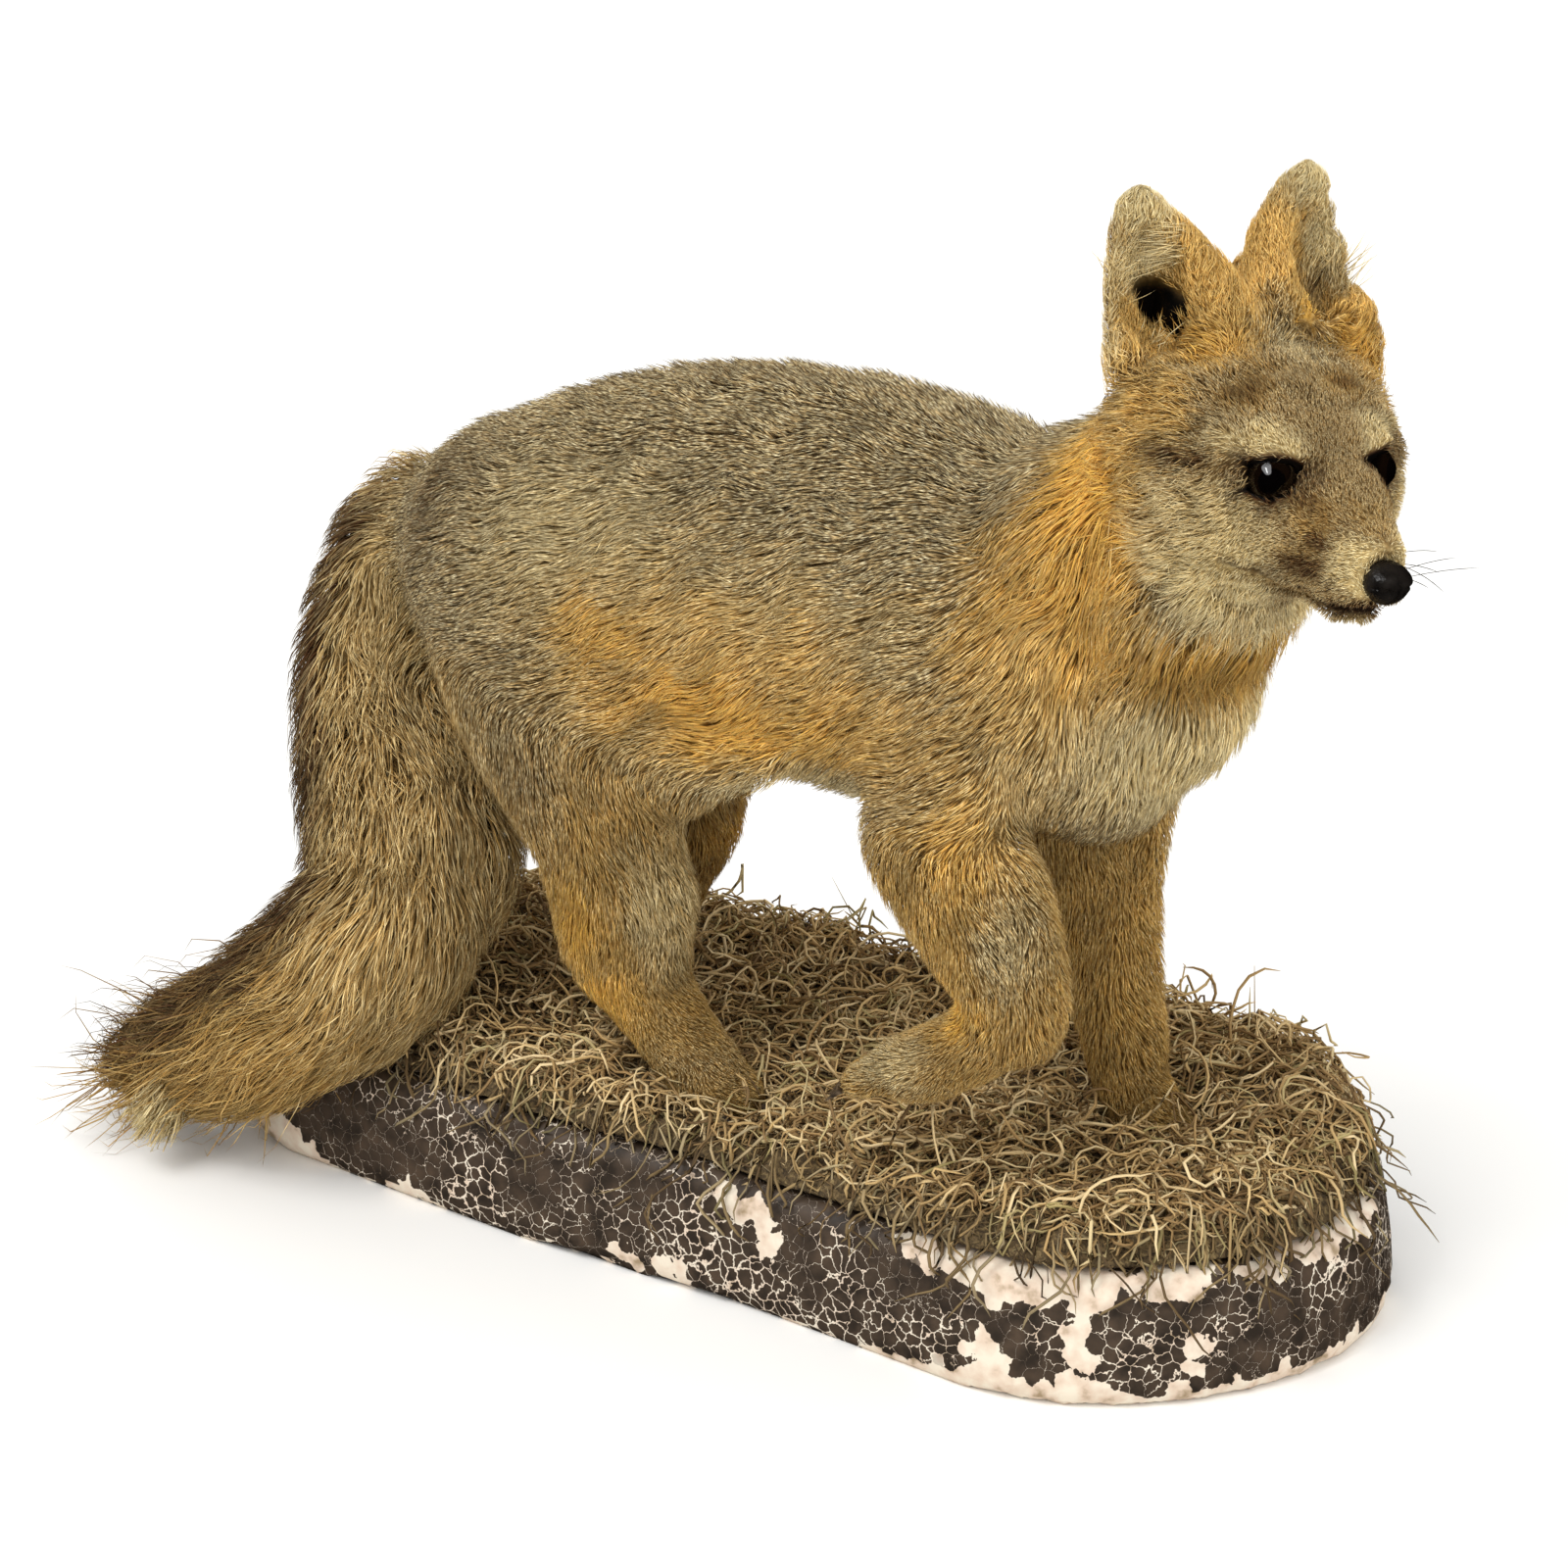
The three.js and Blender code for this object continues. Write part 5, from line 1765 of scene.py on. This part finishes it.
def layOnBed(draw, lines, bedTree):
    # Presses the strands onto the bed, apart from the loose ones, and says which points are off it.
    count, steps = lines.shape[:2]
    flat = lines.reshape(-1, 3)
    floor = np.empty(len(flat))
    for index, point in enumerate(flat.tolist()):
        hit = bedTree.ray_cast(Vector((point[0], point[1], 160)), Vector((0, 0, -1)))[0]
        floor[index] = hit[2] if hit is not None else np.nan
    off = np.isnan(floor).reshape(count, steps)
    floor = np.where(np.isnan(floor), moss["slabTop"], floor)
    height = flat[:, 2] - floor
    isLoose = np.repeat(draw.uniform(size=count) < moss["loose"], steps)
    looseMost = np.minimum(np.abs(height) * 1.1, moss["looseRise"])
    most = np.where(isLoose, looseMost, np.minimum(6 + 0.3 * height, 12))
    flat[:, 2] = floor + np.where(height < 0.4, 0.4 + 0.25 * np.abs(height), np.minimum(height, most))
    return flat.reshape(count, steps, 3), off


def hangOver(draw, lines, off, stepLength):
    # Past the bed's edge a strand hangs and sways, no further past the slab's long sides than the overhang.
    phase = draw.uniform(0, 2 * math.pi, (len(lines), 2))
    for index in range(1, lines.shape[1]):
        mine, before, away = lines[:, index], lines[:, index - 1], off[:, index, None]
        hangs = np.minimum(mine[:, 2], before[:, 2] - 0.6 * stepLength)
        mine[:, 2] = np.where(away[:, 0], hangs, mine[:, 2])
        mine[:, :2] -= 0.5 * away * (mine[:, :2] - before[:, :2])
        mine[:, :2] += away * moss["sway"] * np.sin(phase + 1.3 * index)
    low, high = slabPlaces[:, 1].min(), slabPlaces[:, 1].max()
    middle, half = (high + low) / 2, (high - low) / 2
    across = lines[:, :, 1] - middle
    over = np.maximum(np.abs(across) - half, 0)
    held = half + moss["overhang"] * np.tanh(over / moss["overhang"])
    lines[:, :, 1] = np.where(over > 0, middle + np.sign(across) * held, lines[:, :, 1])


def growMoss():
    mesh = makeMossBed().data
    places, triangles = readVerts(mesh), readTriangles(mesh)
    draw = np.random.default_rng(71)
    lines, stepLength = curledLines(draw, places, triangles)
    lines, off = layOnBed(draw, lines, treeOf(places, triangles))
    hangOver(draw, lines, off, stepLength)
    count = len(lines)
    # Painted shade: each strand is darker the lower it lies in the tangle.
    depth = np.clip((lines[:, :, 2].mean(1) - 62) / 20, 0, 1)
    values = np.column_stack([draw.uniform(size=count), np.clip(depth + draw.normal(0, 0.15, count), 0, 1),
                              np.zeros(count), np.ones(count)])
    radii = moss["radius"] * draw.uniform(0.6, 1.25, count)
    for piece in strandPieces("mossTangle", lines, radii, values, mossMaterial(), moss["chunk"]):
        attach(piece, "root")


growMoss()
growWhiskers()
print("moss and whiskers grown")


# ---- floor and lights
studio = dict(floor="f4f3f0", floorSize=60, world=0.82, sun=1.55, sunSpread=38, sunFrom=(-0.25, -0.75, 1.25),
              aim=(0, 0, 0.25))
# Lamps: place, size and power. The eyes and nose mirror only the glint.
lamps = dict(
    fill=((2.2, -0.6, 1.2), 1.6, 16),
    rim=((-1.2, 1.8, 2.0), 1.4, 10),
    glint=((-0.1, -1.2, 2.0), 0.22, 3),
)


def makeFloor():
    made = bmesh.new()
    bmesh.ops.create_grid(made, x_segments=2, y_segments=2, size=studio["floorSize"])
    mesh = bpy.data.meshes.new("studioFloor")
    made.to_mesh(mesh)
    made.free()
    floor = linkPiece("studioFloor", mesh)
    material, tree, shader = newMaterial("paleFloor")
    setInputs(tree, shader, {"Base Color": paint(studio["floor"]), "Roughness": 0.9})
    mesh.materials.append(material)
    floor.visible_glossy = False


def makeLamp(name, kind, power, back, place=(0, 0, 0)):
    # A lamp that shines against the direction back.
    data = bpy.data.lights.new(name, kind)
    data.energy = power
    lamp = bpy.data.objects.new(name, data)
    lamp.location = place
    lamp.rotation_euler = back.to_track_quat("Z", "Y").to_euler()
    scene.collection.objects.link(lamp)
    return lamp


def makeStudio():
    makeFloor()
    world = bpy.data.worlds.new("studio")
    world.use_nodes = True
    background = world.node_tree.nodes["Background"]
    background.inputs[0].default_value = (1, 1, 1, 1)
    background.inputs[1].default_value = studio["world"]
    scene.world = world
    world.cycles_visibility.glossy = False
    sun = makeLamp("softSun", "SUN", studio["sun"], Vector(studio["sunFrom"]))
    sun.data.angle = math.radians(studio["sunSpread"])
    for name, (place, size, power) in lamps.items():
        lamp = makeLamp(name, "AREA", power, Vector(place) - Vector(studio["aim"]), place)
        lamp.data.size = size
        lamp.visible_glossy = name == "glint"
    scene.view_settings.view_transform = "Standard"


makeStudio()
print("studio lit")
